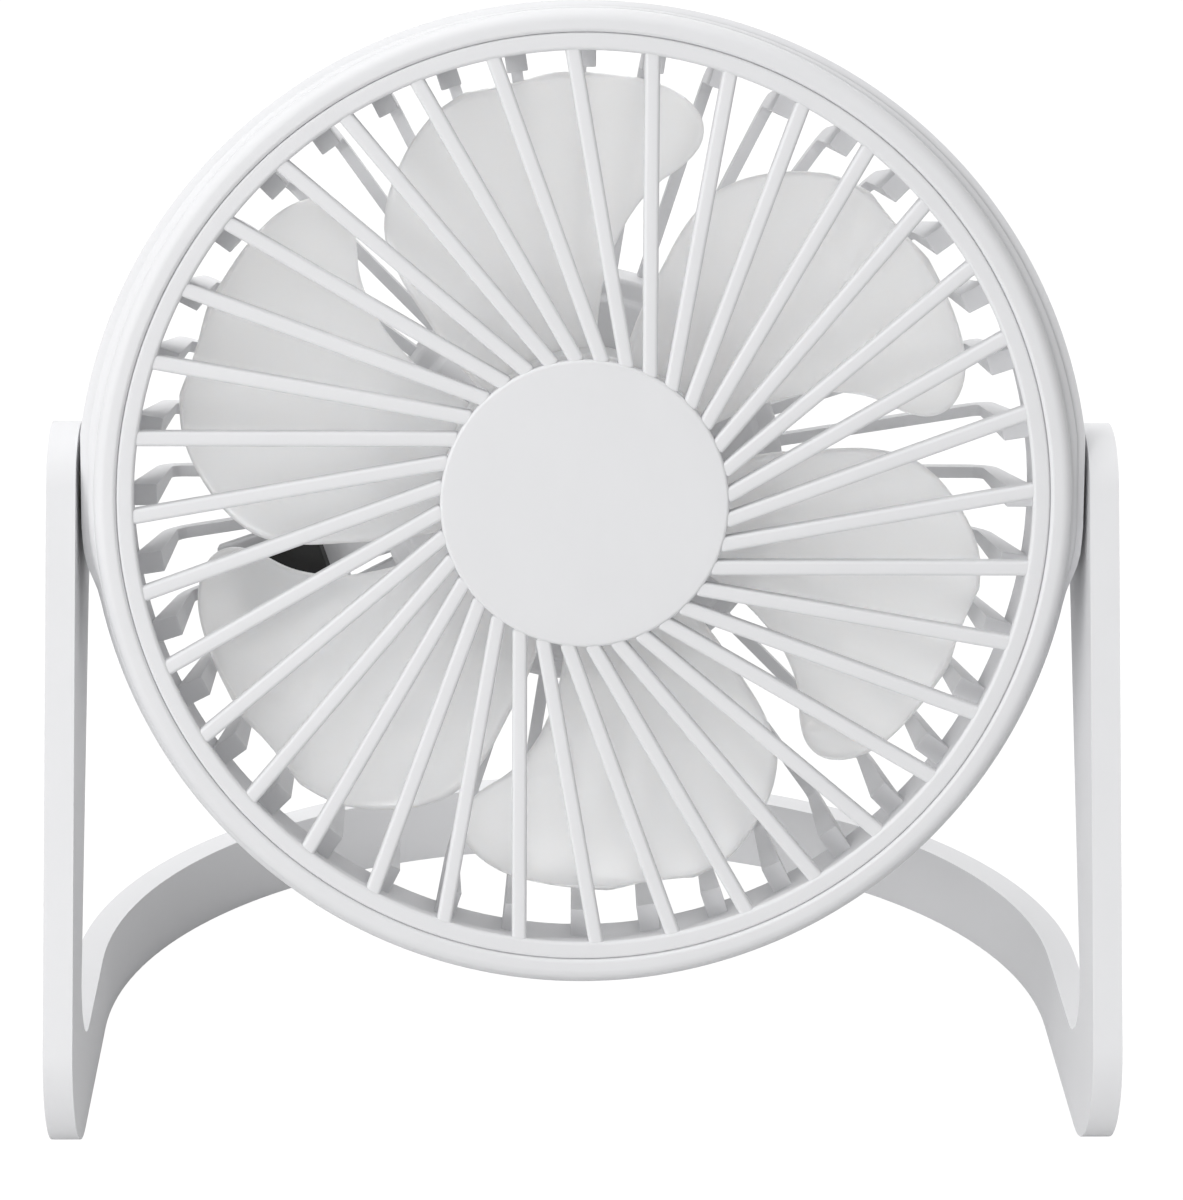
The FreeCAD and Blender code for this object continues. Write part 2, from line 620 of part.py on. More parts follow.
def turned_block(body, name, radial, depth, half_width, kind="PartDesign::Pad"):
    """A block lying along the switch's radius, from one distance to another."""
    corners = [
        turned(radial[0], f"-({half_width})"), turned(radial[1], f"-({half_width})"),
        turned(radial[1], half_width), turned(radial[0], half_width),
    ]
    sketch = outline(body, name, "XZ_Plane", corners, lift=f"-({depth[0]})")
    return pad(body, sketch, f"({depth[1]}) - ({depth[0]})", kind, middle=False,
               reverse=kind == "PartDesign::Pad")


def switch_frame(body):
    """The frame that the power switch is pushed into, and the lead channel to the cup."""
    near = "switch_reach - switch_long / 2"
    far = "switch_reach + switch_long / 2"
    front = "cage_back - cage_rib_depth - 0.3"
    turned_block(body, "switch_plate", (f"{near} - switch_lip", f"{far} + switch_lip"),
                 (front, "cage_back"), "switch_wide / 2 + switch_lip")
    turned_block(body, "lead_channel", ("cup_radius - 1", f"{near} - switch_lip + 0.2"),
                 (front, "cage_back"), "channel_half")
    turned_block(body, "switch_hole", (near, far), (f"{front} - 5", "cage_back + 5"),
                 "switch_wide / 2", "PartDesign::Pocket")


def motor_cover():
    """The round plate that closes the motor cup, with the inlet's window."""
    plate = "cup_back - cover_thickness"
    body = tube("motor_cover", "cup_radius - cup_wall - 0.1", "0", plate, "cup_back")
    through = (f"{plate} - 1", "cup_back + 1")
    for index in range(SCREW_COUNT):
        rod(body, f"cover_hole_{index + 1}", screw_spot(index), "cover_hole_radius", *through,
            "PartDesign::Pocket")
    half_width = "inlet_half_width + window_gap"
    half_height = "inlet_half_height + window_gap"
    block(body, "inlet_window", (f"-({half_width})", half_width), through,
          (f"-inlet_height - ({half_height})", f"-inlet_height + {half_height}"),
          "PartDesign::Pocket")
    for index in range(VENT_COUNT):
        half = f"vent_half - {index} * vent_taper"
        low = f"vent_low + {index} * vent_pitch"
        block(body, f"vent_{index + 1}", (f"-({half})", half), through,
              (low, f"{low} + vent_height"), "PartDesign::Pocket")
    return body


def cover_screw(index):
    """A small pan-head screw with a cross recess that holds the motor cover."""
    label = f"cover_screw_{index + 1}"
    across, height = screw_spot(index)
    body = new_body(label)
    rod(body, label + "_shank", (across, height), "cover_shank_radius",
        "cup_back - cover_thickness - cover_shank_depth", "cup_back")
    rod(body, label + "_head", (across, height), "cover_head_radius", "cup_back",
        "cup_back + cover_head_height")
    recess = ("cup_back + cover_head_height - cross_depth", "cup_back + 2")
    for turn, (wide, tall) in enumerate(((1.6, 0.3), (0.3, 1.6))):
        block(body, f"{label}_cross_{turn + 1}", (f"{across} - {wide}", f"{across} + {wide}"),
              recess, (f"{height} - {tall}", f"{height} + {tall}"), "PartDesign::Pocket")
    return body


# ---------------------------------------------------------------- head: impeller and motor

# A blade seen along the spindle: distance out along its middle line, then the reach to the
# leading edge and to the trailing edge on either side of that line, in millimetres.
BLADE_OUTLINE = [
    (16.8, -5.4, 10.4),
    (23.0, -7.2, 13.4),
    (28.5, -9.4, 15.0),
    (34.5, -13.2, 16.6),
    (38.8, -18.2, 17.2),
    (41.0, -23.4, 17.1),
    (43.4, -26.4, 16.5),
    (46.5, -27.2, 15.2),
    (50.0, -25.6, 12.8),
    (53.2, -21.8, 10.0),
    (55.8, -15.4, 6.6),
    (57.4, -7.6, 2.2),
]
BLADE_MIDDLE = 42.0


def blade_section(distance, low, high):
    """A thin tilted lens across a blade, in the plane at one distance along its middle line.

    The blade's surface advances along Y with the angle about the spindle.
    """
    half_thickness = number("blade_thickness") / 2
    faces = []
    for side in (1, -1):
        face = []
        for share in (0.0, 0.2, 0.4, 0.6, 0.8, 1.0):
            across = low + (high - low) * share
            angle = math.atan2(across, distance)
            swell = 0.4 + 0.6 * math.sin(math.pi * share)
            along = number("blade_centre") - number("blade_pitch") * angle
            face.append(Vector(distance, along + side * half_thickness * swell, across))
        faces.append(face)
    top, bottom = faces
    edges = [spline(top), Part.makeLine(top[-1], bottom[-1])]
    edges += [spline(bottom[::-1]), Part.makeLine(bottom[0], top[0])]
    return Part.Wire(edges)


def spline(points):
    """A smooth edge through points."""
    curve = Part.BSplineCurve()
    curve.interpolate(points)
    return curve.toShape()


def blade_shape():
    """One blade as a loft through its sections from hub to tip."""
    loft = Part.makeLoft([blade_section(*row) for row in BLADE_OUTLINE], True, True)
    if loft.Volume < 0:
        loft.reverse()
    loft.rotate(Vector(0, 0, 0), Vector(0, -1, 0), BLADE_MIDDLE)
    return loft


def impeller():
    """Hub and blades in one moulding."""
    hub = tube("impeller_hub", "hub_radius", "hub_radius - hub_wall", "hub_front", "hub_back")
    revolve(hub, outline(hub, "hub_face", "XY_Plane", [
        ("shaft_radius", "hub_front"), ("hub_radius - hub_wall / 2", "hub_front"),
        ("hub_radius - hub_wall / 2", "hub_front + hub_wall"),
        ("boss_radius", "hub_front + hub_wall"),
        ("boss_radius", "hub_front + boss_depth"), ("shaft_radius", "hub_front + boss_depth"),
    ]))
    document.recompute()
    shape = hub.Shape.copy()
    count = int(number("blade_count"))
    single = blade_shape()
    blades = []
    for index in range(count):
        blade = single.copy()
        blade.rotate(Vector(0, 0, 0), Vector(0, 1, 0), FULL_TURN / count * index)
        blades.append(blade)
    bore = Part.makeCylinder(
        number("hub_radius - hub_wall"), number("hub_back - hub_front"),
        Vector(0, number("hub_front + hub_wall"), 0), Vector(0, 1, 0),
    )
    blades = [blade.cut(bore) for blade in blades]
    feature = document.addObject("Part::Feature", "impeller")
    feature.Shape = shape.fuse(blades).removeSplitter()
    feature.Label = "impeller"
    return feature


def shaft_clip():
    """The split ring that keeps the shaft in its bearings."""
    body = tube("shaft_clip", "clip_radius", "shaft_radius", "clip_front",
                "clip_front + clip_thickness")
    block(body, "clip_gap", ("-clip_thickness", "clip_thickness"),
          ("clip_front - 1", "clip_front + 2"), ("0.2", "clip_radius + 1"), "PartDesign::Pocket")
    return body


def stator_core():
    """Laminated core: a ring with four arms that end in curved shoes."""
    depth = ("core_front", "core_back")
    body = tube("stator_core", "core_ring_radius", "bearing_tube_radius", *depth)
    arm = block(body, "core_arm", ("core_ring_radius - 0.5", "shoe_bore + 0.6"), depth,
                ("-core_arm_half", "core_arm_half"))
    shoe = outline(body, "core_shoe", "XZ_Plane", [
        ("shoe_bore * cos(shoe_angle)", "-shoe_bore * sin(shoe_angle)"),
        ("core_radius * cos(shoe_angle)", "-core_radius * sin(shoe_angle)", "core_radius"),
        ("core_radius * cos(shoe_angle)", "core_radius * sin(shoe_angle)"),
        ("shoe_bore * cos(shoe_angle)", "shoe_bore * sin(shoe_angle)", "-shoe_bore"),
    ], lift="-core_front")
    plate = pad(body, shoe, "core_back - core_front", middle=False, reverse=True)
    polar(body, [arm, plate], str(COIL_COUNT))
    return body


def stator_coil(index):
    """One winding around one arm of the core."""
    label = f"stator_coil_{index + 1}"
    body = new_body(label)
    block(body, label + "_winding", ("core_ring_radius + 0.3", "shoe_bore - 0.6"),
          ("core_front - coil_end", "core_back + coil_end"), ("-coil_half", "coil_half"))
    block(body, label + "_window", ("core_ring_radius - 1", "shoe_bore + 1"),
          ("core_front", "core_back"), ("-core_arm_half", "core_arm_half"), "PartDesign::Pocket")
    return body, Placement(Vector(), Rotation(Vector(0, 1, 0), FULL_TURN / COIL_COUNT * index))


def driver_board():
    """The small round board behind the windings."""
    return tube("driver_board", "driver_radius", "bearing_tube_radius + 0.1", "driver_front",
                "driver_front + board_thickness")


def control_board():
    """The board in the cup behind the shaft, with a choke on its front."""
    body = new_body("control_board")
    face = "cup_back - board_front"
    block(body, "board", ("-11", "11"), (face, f"{face} + board_thickness"), ("-16", "15"))
    block(body, "board_choke", ("-4", "4"), (f"{face} - 2.8", face), ("6", "12"))
    return body


def usb_socket():
    """The power inlet: a small metal shell, open to the rear."""
    body = new_body("usb_socket")
    levels = {}
    for name, half in (("shell", "inlet_half_height"), ("tongue", "tongue_half_height"),
                       ("mouth", "inlet_half_height - inlet_wall")):
        levels[name] = (f"-inlet_height - ({half})", f"-inlet_height + {half}")
    block(body, "inlet_shell", ("-inlet_half_width", "inlet_half_width"),
          ("cup_back - inlet_depth", "cup_back - 0.2"), levels["shell"])
    block(body, "inlet_mouth", ("inlet_wall - inlet_half_width", "inlet_half_width - inlet_wall"),
          ("cup_back - inlet_depth + 2 * inlet_wall", "cup_back + 1"), levels["mouth"],
          "PartDesign::Pocket")
    block(body, "inlet_tongue", ("-tongue_half_width", "tongue_half_width"),
          ("cup_back - inlet_depth + 0.6", "cup_back - 1"), levels["tongue"])
    return body


# ---------------------------------------------------------------- head: power switch

def switch_body():
    """The switch's housing, open to the rear for the rocker."""
    body = new_body("switch_body")
    near = "switch_reach - switch_long / 2"
    far = "switch_reach + switch_long / 2"
    turned_block(body, "housing", (near, far), ("cage_back - switch_depth", "cage_back"),
                 "switch_wide / 2")
    turned_block(body, "flange", (f"{near} - flange_lip", f"{far} + flange_lip"),
                 ("cage_back", "cage_back + flange_thickness"), "switch_wide / 2 + flange_lip")
    well = "rocker_radius + well_gap"
    turned_block(body, "rocker_well", (f"switch_reach - ({well})", f"switch_reach + {well}"),
                 ("cage_back - rocker_radius - 1", "cage_back + 2"), "well_half",
                 "PartDesign::Pocket")
    pin_hole(body)
    return body


def pin_hole(body):
    """The cross hole in the switch's housing that the rocker's pins turn in."""
    sketch = ring_sketch(body, "pin_hole", "XY_Plane", ("0", "0"), "pin_radius + running_gap")
    sketch.AttachmentSupport = None
    sketch.MapMode = "Deactivated"
    sketch.Placement = Placement(rocker_point(), rocker_rotation())
    pad(body, sketch, "pin_seat", "PartDesign::Pocket")


def rocker_point():
    """The middle of the rocker's axis in the head's frame."""
    angle = math.radians(number("switch_angle"))
    reach = number("switch_reach")
    depth = number("cage_back - rocker_drop")
    return Vector(reach * math.cos(angle), depth, reach * math.sin(angle))


def rocker_rotation():
    """Turns Z to the rocker's axis, X to the switch's radius and Y to the rear."""
    return Rotation(Vector(0, -1, 0), number("switch_angle"))


def switch_rocker():
    """A rocker with round ends, a shallow V on top and a pin on each side."""
    body = new_body("switch_rocker")
    peak = "rocker_radius * cos(rocker_high_angle) * tan(rocker_rest)"
    corners = [
        ("-rocker_radius * cos(rocker_low_angle)", "-rocker_radius * sin(rocker_low_angle)"),
        ("rocker_radius * cos(rocker_low_angle)", "-rocker_radius * sin(rocker_low_angle)",
         "rocker_radius"),
        ("rocker_radius * cos(rocker_high_angle)", "rocker_radius * sin(rocker_high_angle)"),
        ("0", f"rocker_radius * sin(rocker_high_angle) + {peak}"),
        ("-rocker_radius * cos(rocker_high_angle)", "rocker_radius * sin(rocker_high_angle)",
         "rocker_radius"),
    ]
    pad(body, outline(body, "rocker_side", "XY_Plane", corners), "rocker_width")
    pad(body, ring_sketch(body, "rocker_pin", "XY_Plane", ("0", "0"), "pin_radius"), "pin_length")
    rest = Rotation(Vector(0, 0, 1), -number("rocker_rest"))
    return body, Placement(rocker_point(), rocker_rotation().multiply(rest))


# ---------------------------------------------------------------- assembly and files

def check(parts):
    """Stop at the first failed object, invalid shape or shape of several solids."""
    for thing in document.Objects:
        if "Invalid" in thing.State or "Error" in thing.State:
            raise RuntimeError(f"{thing.Name} failed: {thing.State}")
    for part in parts:
        shape = part.Shape
        if shape.isNull() or not shape.isValid():
            raise RuntimeError(f"{part.Label} has no valid shape")
        if len(shape.Solids) != 1:
            raise RuntimeError(f"{part.Label} has {len(shape.Solids)} solids")


def export(parts):
    """Write each sub-part to a file named after it."""
    os.makedirs("parts", exist_ok=True)
    for part in parts:
        part.Shape.exportStep(os.path.join("parts", part.Label + ".step"))
        print(f"{part.Label:22s} {part.Shape.Volume:10.1f} mm3")


def build_stand_parts():
    """The sub-parts that stand still."""
    inner = "overall_width / 2 - arm_thickness"
    parts = [stand()]
    for side, name in ((1, "right"), (-1, "left")):
        parts.append(side_disc("pivot_cap_" + name, side, "cap_radius", None,
                               "overall_width / 2 - cap_thickness", "overall_width / 2"))
        parts.append(side_disc("friction_washer_" + name, side, "washer_radius",
                               "screw_radius + running_gap", inner,
                               f"{inner} + washer_thickness"))
    for part in parts:
        part.Placement = stand_place()
    return parts


# label, outer radius, inner radius, front, back
TUBES = [
    ("motor_shaft", "shaft_radius", "0", "hub_front + 0.6", "shaft_back"),
    ("rotor_yoke", "hub_radius - hub_wall", "yoke_bore", "0", "yoke_back"),
    ("rotor_magnet", "yoke_bore", "magnet_bore", "2", "yoke_back - 0.2"),
    ("bearing_tube", "bearing_tube_radius", "bearing_radius", "core_front",
     "cup_front + cup_floor"),
    ("bearing_front", "bearing_radius", "shaft_radius + running_gap", "core_front + 0.4",
     "core_front + 0.4 + bearing_length"),
    ("bearing_rear", "bearing_radius", "shaft_radius + running_gap",
     "cup_front + cup_floor - 0.4 - bearing_length", "cup_front + cup_floor - 0.4"),
]


def build_head_parts():
    """The sub-parts of the tilting head, the spinning ones included."""
    parts = [pivot_screw("pivot_screw_right", 1), pivot_screw("pivot_screw_left", -1)]
    parts += [casing_ring(), front_grille(), rear_grille(), motor_cover(), impeller()]
    parts += [cover_screw(index) for index in range(SCREW_COUNT)]
    for label, outer, inner, front, back in TUBES:
        parts.append(tube(label, outer, inner, front, back))
    parts += [shaft_clip(), stator_core(), driver_board(), control_board(), usb_socket()]
    parts.append(switch_body())
    for part in parts:
        part.Placement = head_place()
    turned_parts = [stator_coil(index) for index in range(COIL_COUNT)]
    turned_parts.append(switch_rocker())
    for part, local in turned_parts:
        part.Placement = head_place().multiply(local)
        parts.append(part)
    return parts


def main():
    """Draw every sub-part, check it and write it."""
    fill_sheet()
    document.addObject("App::FeaturePython", "Probe")
    parts = build_stand_parts() + build_head_parts()
    document.recompute()
    check(parts)
    export(parts)


main()
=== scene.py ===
"""Looks of a small desk fan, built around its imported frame.

The head's pieces are modelled in the head's own frame, with the pivot axis on X through the origin
and the spindle on Y, and are then carried to the place that the spindle's joint gives. Sizes in the
classes are in millimetres and are turned into metres where a mesh is made.
"""

import json
import logging
import math
from dataclasses import dataclass, field
from enum import Enum
from typing import Any, Iterable, Sequence

import bmesh
import bpy
from mathutils import Matrix, Vector

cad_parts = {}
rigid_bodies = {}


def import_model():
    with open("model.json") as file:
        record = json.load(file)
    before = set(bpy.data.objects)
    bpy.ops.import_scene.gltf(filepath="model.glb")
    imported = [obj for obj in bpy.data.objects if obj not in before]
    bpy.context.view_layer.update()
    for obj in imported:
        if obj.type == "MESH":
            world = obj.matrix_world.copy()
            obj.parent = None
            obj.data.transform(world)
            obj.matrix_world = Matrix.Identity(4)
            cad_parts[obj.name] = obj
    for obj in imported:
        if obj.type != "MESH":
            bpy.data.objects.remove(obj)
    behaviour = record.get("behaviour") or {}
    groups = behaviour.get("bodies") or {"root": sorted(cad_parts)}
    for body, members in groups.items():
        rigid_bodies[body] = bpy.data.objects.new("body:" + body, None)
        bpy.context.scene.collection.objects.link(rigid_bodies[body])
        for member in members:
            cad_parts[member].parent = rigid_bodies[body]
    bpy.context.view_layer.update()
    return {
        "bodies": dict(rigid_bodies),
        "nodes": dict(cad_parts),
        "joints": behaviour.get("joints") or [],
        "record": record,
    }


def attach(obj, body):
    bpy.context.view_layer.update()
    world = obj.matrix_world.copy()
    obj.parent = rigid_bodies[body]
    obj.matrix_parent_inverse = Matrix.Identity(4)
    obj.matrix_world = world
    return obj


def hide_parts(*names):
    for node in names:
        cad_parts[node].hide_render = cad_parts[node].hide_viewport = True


LOG = logging.getLogger("desk_fan")
MM = 0.001
FULL_TURN = 2 * math.pi
SAME_POINT = 0.002  # millimetres between points that are one
PAST = 5.0  # millimetres that a cutter reaches past its work

Point = tuple[float, float]
Corner = tuple[float, float, float]
Piece = bpy.types.Object


class Body(Enum):
    """The rigid bodies that pieces ride on."""

    STAND = "stand_body"
    HEAD = "head_body"
    ROTOR = "rotor_body"
    ROCKER = "rocker_body"


class Axis(Enum):
    """Directions that an outline can be pushed along."""

    X = Vector((1, 0, 0))
    Y = Vector((0, 1, 0))
    Z = Vector((0, 0, 1))


# Outlines.


def rounded(corners: Sequence[Corner], closed: bool = True, steps: int = 6) -> list[Point]:
    """Round the corners of an outline with tangent arcs.

    Args:
        corners: Corner points as (across, up, radius); a radius of 0 keeps a corner sharp.
        closed: Whether the last corner joins the first.
        steps: Segments in each arc.

    Returns:
        The outline's points in order.
    """
    points: list[Point] = []
    count = len(corners)
    for index, (across, up, radius) in enumerate(corners):
        at_end = not closed and index in (0, count - 1)
        if radius <= 0 or at_end:
            points.append((across, up))
            continue
        here = Vector((across, up))
        before = (Vector(corners[index - 1][:2]) - here).normalized()
        after = (Vector(corners[(index + 1) % count][:2]) - here).normalized()
        half = before.angle(after) / 2
        reach = radius / math.tan(half)
        centre = here + (before + after).normalized() * (radius / math.sin(half))
        start = here + before * reach - centre
        sweep = start.angle_signed(here + after * reach - centre)
        for step in range(steps + 1):
            turned = start.copy()
            turned.rotate(Matrix.Rotation(-sweep * step / steps, 2))
            points.append(tuple(centre + turned))
    return points


def arc(centre: Point, radius: float, begin: float, end: float, steps: int = 12) -> list[Point]:
    """Points along an arc.

    Args:
        centre: Middle of the arc.
        radius: Its radius.
        begin: Angle of the first point in degrees.
        end: Angle of the last point in degrees.
        steps: Segments along the arc.

    Returns:
        The points, both ends included.
    """
    angles = [math.radians(begin + (end - begin) * step / steps) for step in range(steps + 1)]
    return [(centre[0] + radius * math.cos(a), centre[1] + radius * math.sin(a)) for a in angles]


def oblong(half: float, low: float, high: float, radius: float, steps: int) -> list[Point]:
    """A rectangle with round corners, centred across."""
    return rounded([(-half, low, radius), (half, low, radius), (half, high, radius),
                    (-half, high, radius)], True, steps)


def smooth(share: float) -> float:
    """Ease from 0 to 1."""
    share = min(max(share, 0.0), 1.0)
    return share * share * (3 - 2 * share)


# Modelling.


def pick(piece: Piece) -> Piece:
    """Make one piece the only selected one.

    Args:
        piece: The piece to work on.

    Returns:
        The same piece.
    """
    for other in bpy.context.selected_objects:
        other.select_set(False)
    piece.select_set(True)
    bpy.context.view_layer.objects.active = piece
    return piece


def edit(piece: Piece, everything: bool = True) -> None:
    """Enter edit mode on a piece with all or nothing selected."""
    pick(piece)
    bpy.ops.object.mode_set(mode="EDIT")
    bpy.ops.mesh.select_all(action="SELECT" if everything else "DESELECT")


def leave() -> Piece:
    """Return to object mode and give back the active piece."""
    bpy.ops.object.mode_set(mode="OBJECT")
    return bpy.context.object


def close_up(piece: Piece) -> Piece:
    """Merge a piece's doubled points and turn its faces outwards."""
    edit(piece)
    bpy.ops.mesh.remove_doubles(threshold=SAME_POINT * MM)
    bpy.ops.mesh.normals_make_consistent(inside=False)
    return leave()


def trace(name: str, points: Sequence[Vector], closed: bool) -> Piece:
    """Trace a chain of edges by extruding one point from corner to corner.

    Args:
        name: Name of the new piece.
        points: Corners in metres.
        closed: Whether an edge joins the last corner to the first.

    Returns:
        The piece, in edit mode with everything selected.
    """
    bpy.ops.mesh.primitive_plane_add(size=MM, location=points[0])
    piece = bpy.context.object
    piece.name = name
    bpy.ops.object.transform_apply(location=True, rotation=True, scale=True)
    edit(piece)
    bpy.ops.mesh.merge(type="CENTER")
    for before, after in zip(points, points[1:]):
        bpy.ops.mesh.extrude_region_move(TRANSFORM_OT_translate={"value": after - before})
    if closed:
        mesh = bmesh.from_edit_mesh(piece.data)
        for vert in mesh.verts:
            if len(vert.link_edges) == 1:
                vert.select_set(True)
        bmesh.update_edit_mesh(piece.data)
        bpy.ops.mesh.edge_face_add()
    bpy.ops.mesh.select_all(action="SELECT")
    return piece


def lathe(name: str, profile: Sequence[Point], closed: bool = True, steps: int = 144,
          centre: Vector = Vector()) -> Piece:
    """Spin a profile about the spindle.

    Args:
        name: Name of the new piece.
        profile: Points as (radius, depth) in millimetres.
        closed: False for a profile that starts and ends on the spindle.
        steps: Segments round the spindle.
        centre: A point in metres on the axis, which runs along Y.

    Returns:
        The closed piece.
    """
    points = [centre + Vector((radius, depth, 0)) * MM for radius, depth in profile]
    piece = trace(name, points, closed)
    bpy.ops.mesh.spin(steps=steps, angle=FULL_TURN, center=centre, axis=(0, 1, 0))
    leave()
    return close_up(piece)


def push(name: str, outline: Sequence[Point], axis: Axis, start: float,
         end: float) -> Piece:
    """Fill an outline and extrude it along an axis.

    Args:
        name: Name of the new piece.
        outline: Points in millimetres, in the plane across the axis: (Y, Z) for X, (X, Z) for Y
            and (X, Y) for Z.
        axis: Direction of the extrusion.
        start: Where the piece begins along the axis, in millimetres.
        end: Where it ends.

    Returns:
        The closed piece.
    """
    places = {
        Axis.X: lambda a, b: Vector((start, a, b)),
        Axis.Y: lambda a, b: Vector((a, start, b)),
        Axis.Z: lambda a, b: Vector((a, b, start)),
    }
    points = [places[axis](across, up) * MM for across, up in outline]
    piece = trace(name, points, True)
    bpy.ops.mesh.edge_face_add()
    reach = axis.value * ((end - start) * MM)
    bpy.ops.mesh.extrude_region_move(TRANSFORM_OT_translate={"value": reach})
    leave()
    return close_up(piece)


def block(name: str, low: Sequence[float], high: Sequence[float], edge: float = 0.3,
          segments: int = 2) -> Piece:
    """A box with bevelled edges between two corners.

    Args:
        name: Name of the new piece.
        low: Lowest corner in millimetres.
        high: Highest corner in millimetres.
        edge: Width of the bevels in millimetres, 0 for none.
        segments: Segments in each bevel.

    Returns:
        The closed piece.
    """
    size = (Vector(high) - Vector(low)) * MM
    middle = (Vector(high) + Vector(low)) * (MM / 2)
    bpy.ops.mesh.primitive_cube_add(size=1, location=middle, scale=size)
    piece = bpy.context.object
    piece.name = name
    bpy.ops.object.transform_apply(location=True, rotation=True, scale=True)
    if edge > 0:
        edit(piece)
        bpy.ops.mesh.bevel(offset=edge * MM, segments=segments, affect="EDGES")
        leave()
    return close_up(piece)


def apply(piece: Piece, kind: str, **settings: Any) -> Piece:
    """Add a modifier to a piece and apply it.

    Args:
        piece: The piece to change.
        kind: The modifier's type.
        **settings: Its settings.

    Returns:
        The same piece.
    """
    pick(piece)
    modifier = piece.modifiers.new(kind.lower(), kind)
    for name, value in settings.items():
        setattr(modifier, name, value)
    bpy.ops.object.modifier_apply(modifier=modifier.name)
    return piece


def carve(piece: Piece, tool: Piece,
          operation: str = "DIFFERENCE") -> Piece:
    """Cut, join or keep the common part of two pieces, and remove the tool."""
    apply(piece, "BOOLEAN", operation=operation, solver="EXACT", object=tool)
    bpy.data.objects.remove(tool)
    return piece


def soften(piece: Piece, width: float, segments: int = 3,
           angle: float = 32.0) -> Piece:
    """Bevel the sharp edges of a piece.

    Args:
        piece: The piece to change.
        width: Width of the bevel in millimetres.
        segments: Segments across it.
        angle: Edges sharper than this, in degrees, are bevelled.

    Returns:
        The same piece.
    """
    return apply(piece, "BEVEL", width=width * MM, segments=segments, limit_method="ANGLE",
                 angle_limit=math.radians(angle), miter_outer="MITER_ARC",
                 use_clamp_overlap=True)


def copy_of(piece: Piece, turn: Matrix) -> Piece:
    """A copy of a piece with its own mesh, turned by a matrix."""
    twin = piece.copy()
    twin.data = piece.data.copy()
    bpy.context.collection.objects.link(twin)
    twin.data.transform(turn)
    return twin


def join(name: str, pieces: Sequence[Piece]) -> Piece:
    """Join pieces into one object of several closed shells."""
    pick(pieces[0])
    for piece in pieces[1:]:
        piece.select_set(True)
    bpy.ops.object.join()
    joined = bpy.context.object
    joined.name = name
    return joined


def around(piece: Piece, count: int) -> Piece:
    """Repeat a piece about the spindle.

    Args:
        piece: The first of the row, in the head's frame.
        count: How many there are in a full turn.

    Returns:
        One object that holds them all.
    """
    twins = [piece]
    for index in range(1, count):
        turn = Matrix.Rotation(FULL_TURN * index / count, 4, "Y")
        twins.append(copy_of(piece, turn))
    return join(piece.name, twins)


# Shaders.


class Value:
    """A number socket that adds Math nodes when it is used in an expression."""

    def __init__(self, tree: "Shader", socket: bpy.types.NodeSocket) -> None:
        """Keep the socket and the tree that new nodes go into."""
        self.tree = tree
        self.socket = socket

    def _math(self, operation: str, first: Any, second: Any) -> "Value":
        """One Math node on two values."""
        return self.tree.number("ShaderNodeMath", {"operation": operation}, {0: first, 1: second})

    def __add__(self, other: Any) -> "Value":
        """Sum."""
        return self._math("ADD", self, other)

    __radd__ = __add__

    def __sub__(self, other: Any) -> "Value":
        """Difference."""
        return self._math("SUBTRACT", self, other)

    def __rsub__(self, other: Any) -> "Value":
        """Difference from a plain number."""
        return self._math("SUBTRACT", other, self)

    def __mul__(self, other: Any) -> "Value":
        """Product."""
        return self._math("MULTIPLY", self, other)

    __rmul__ = __mul__


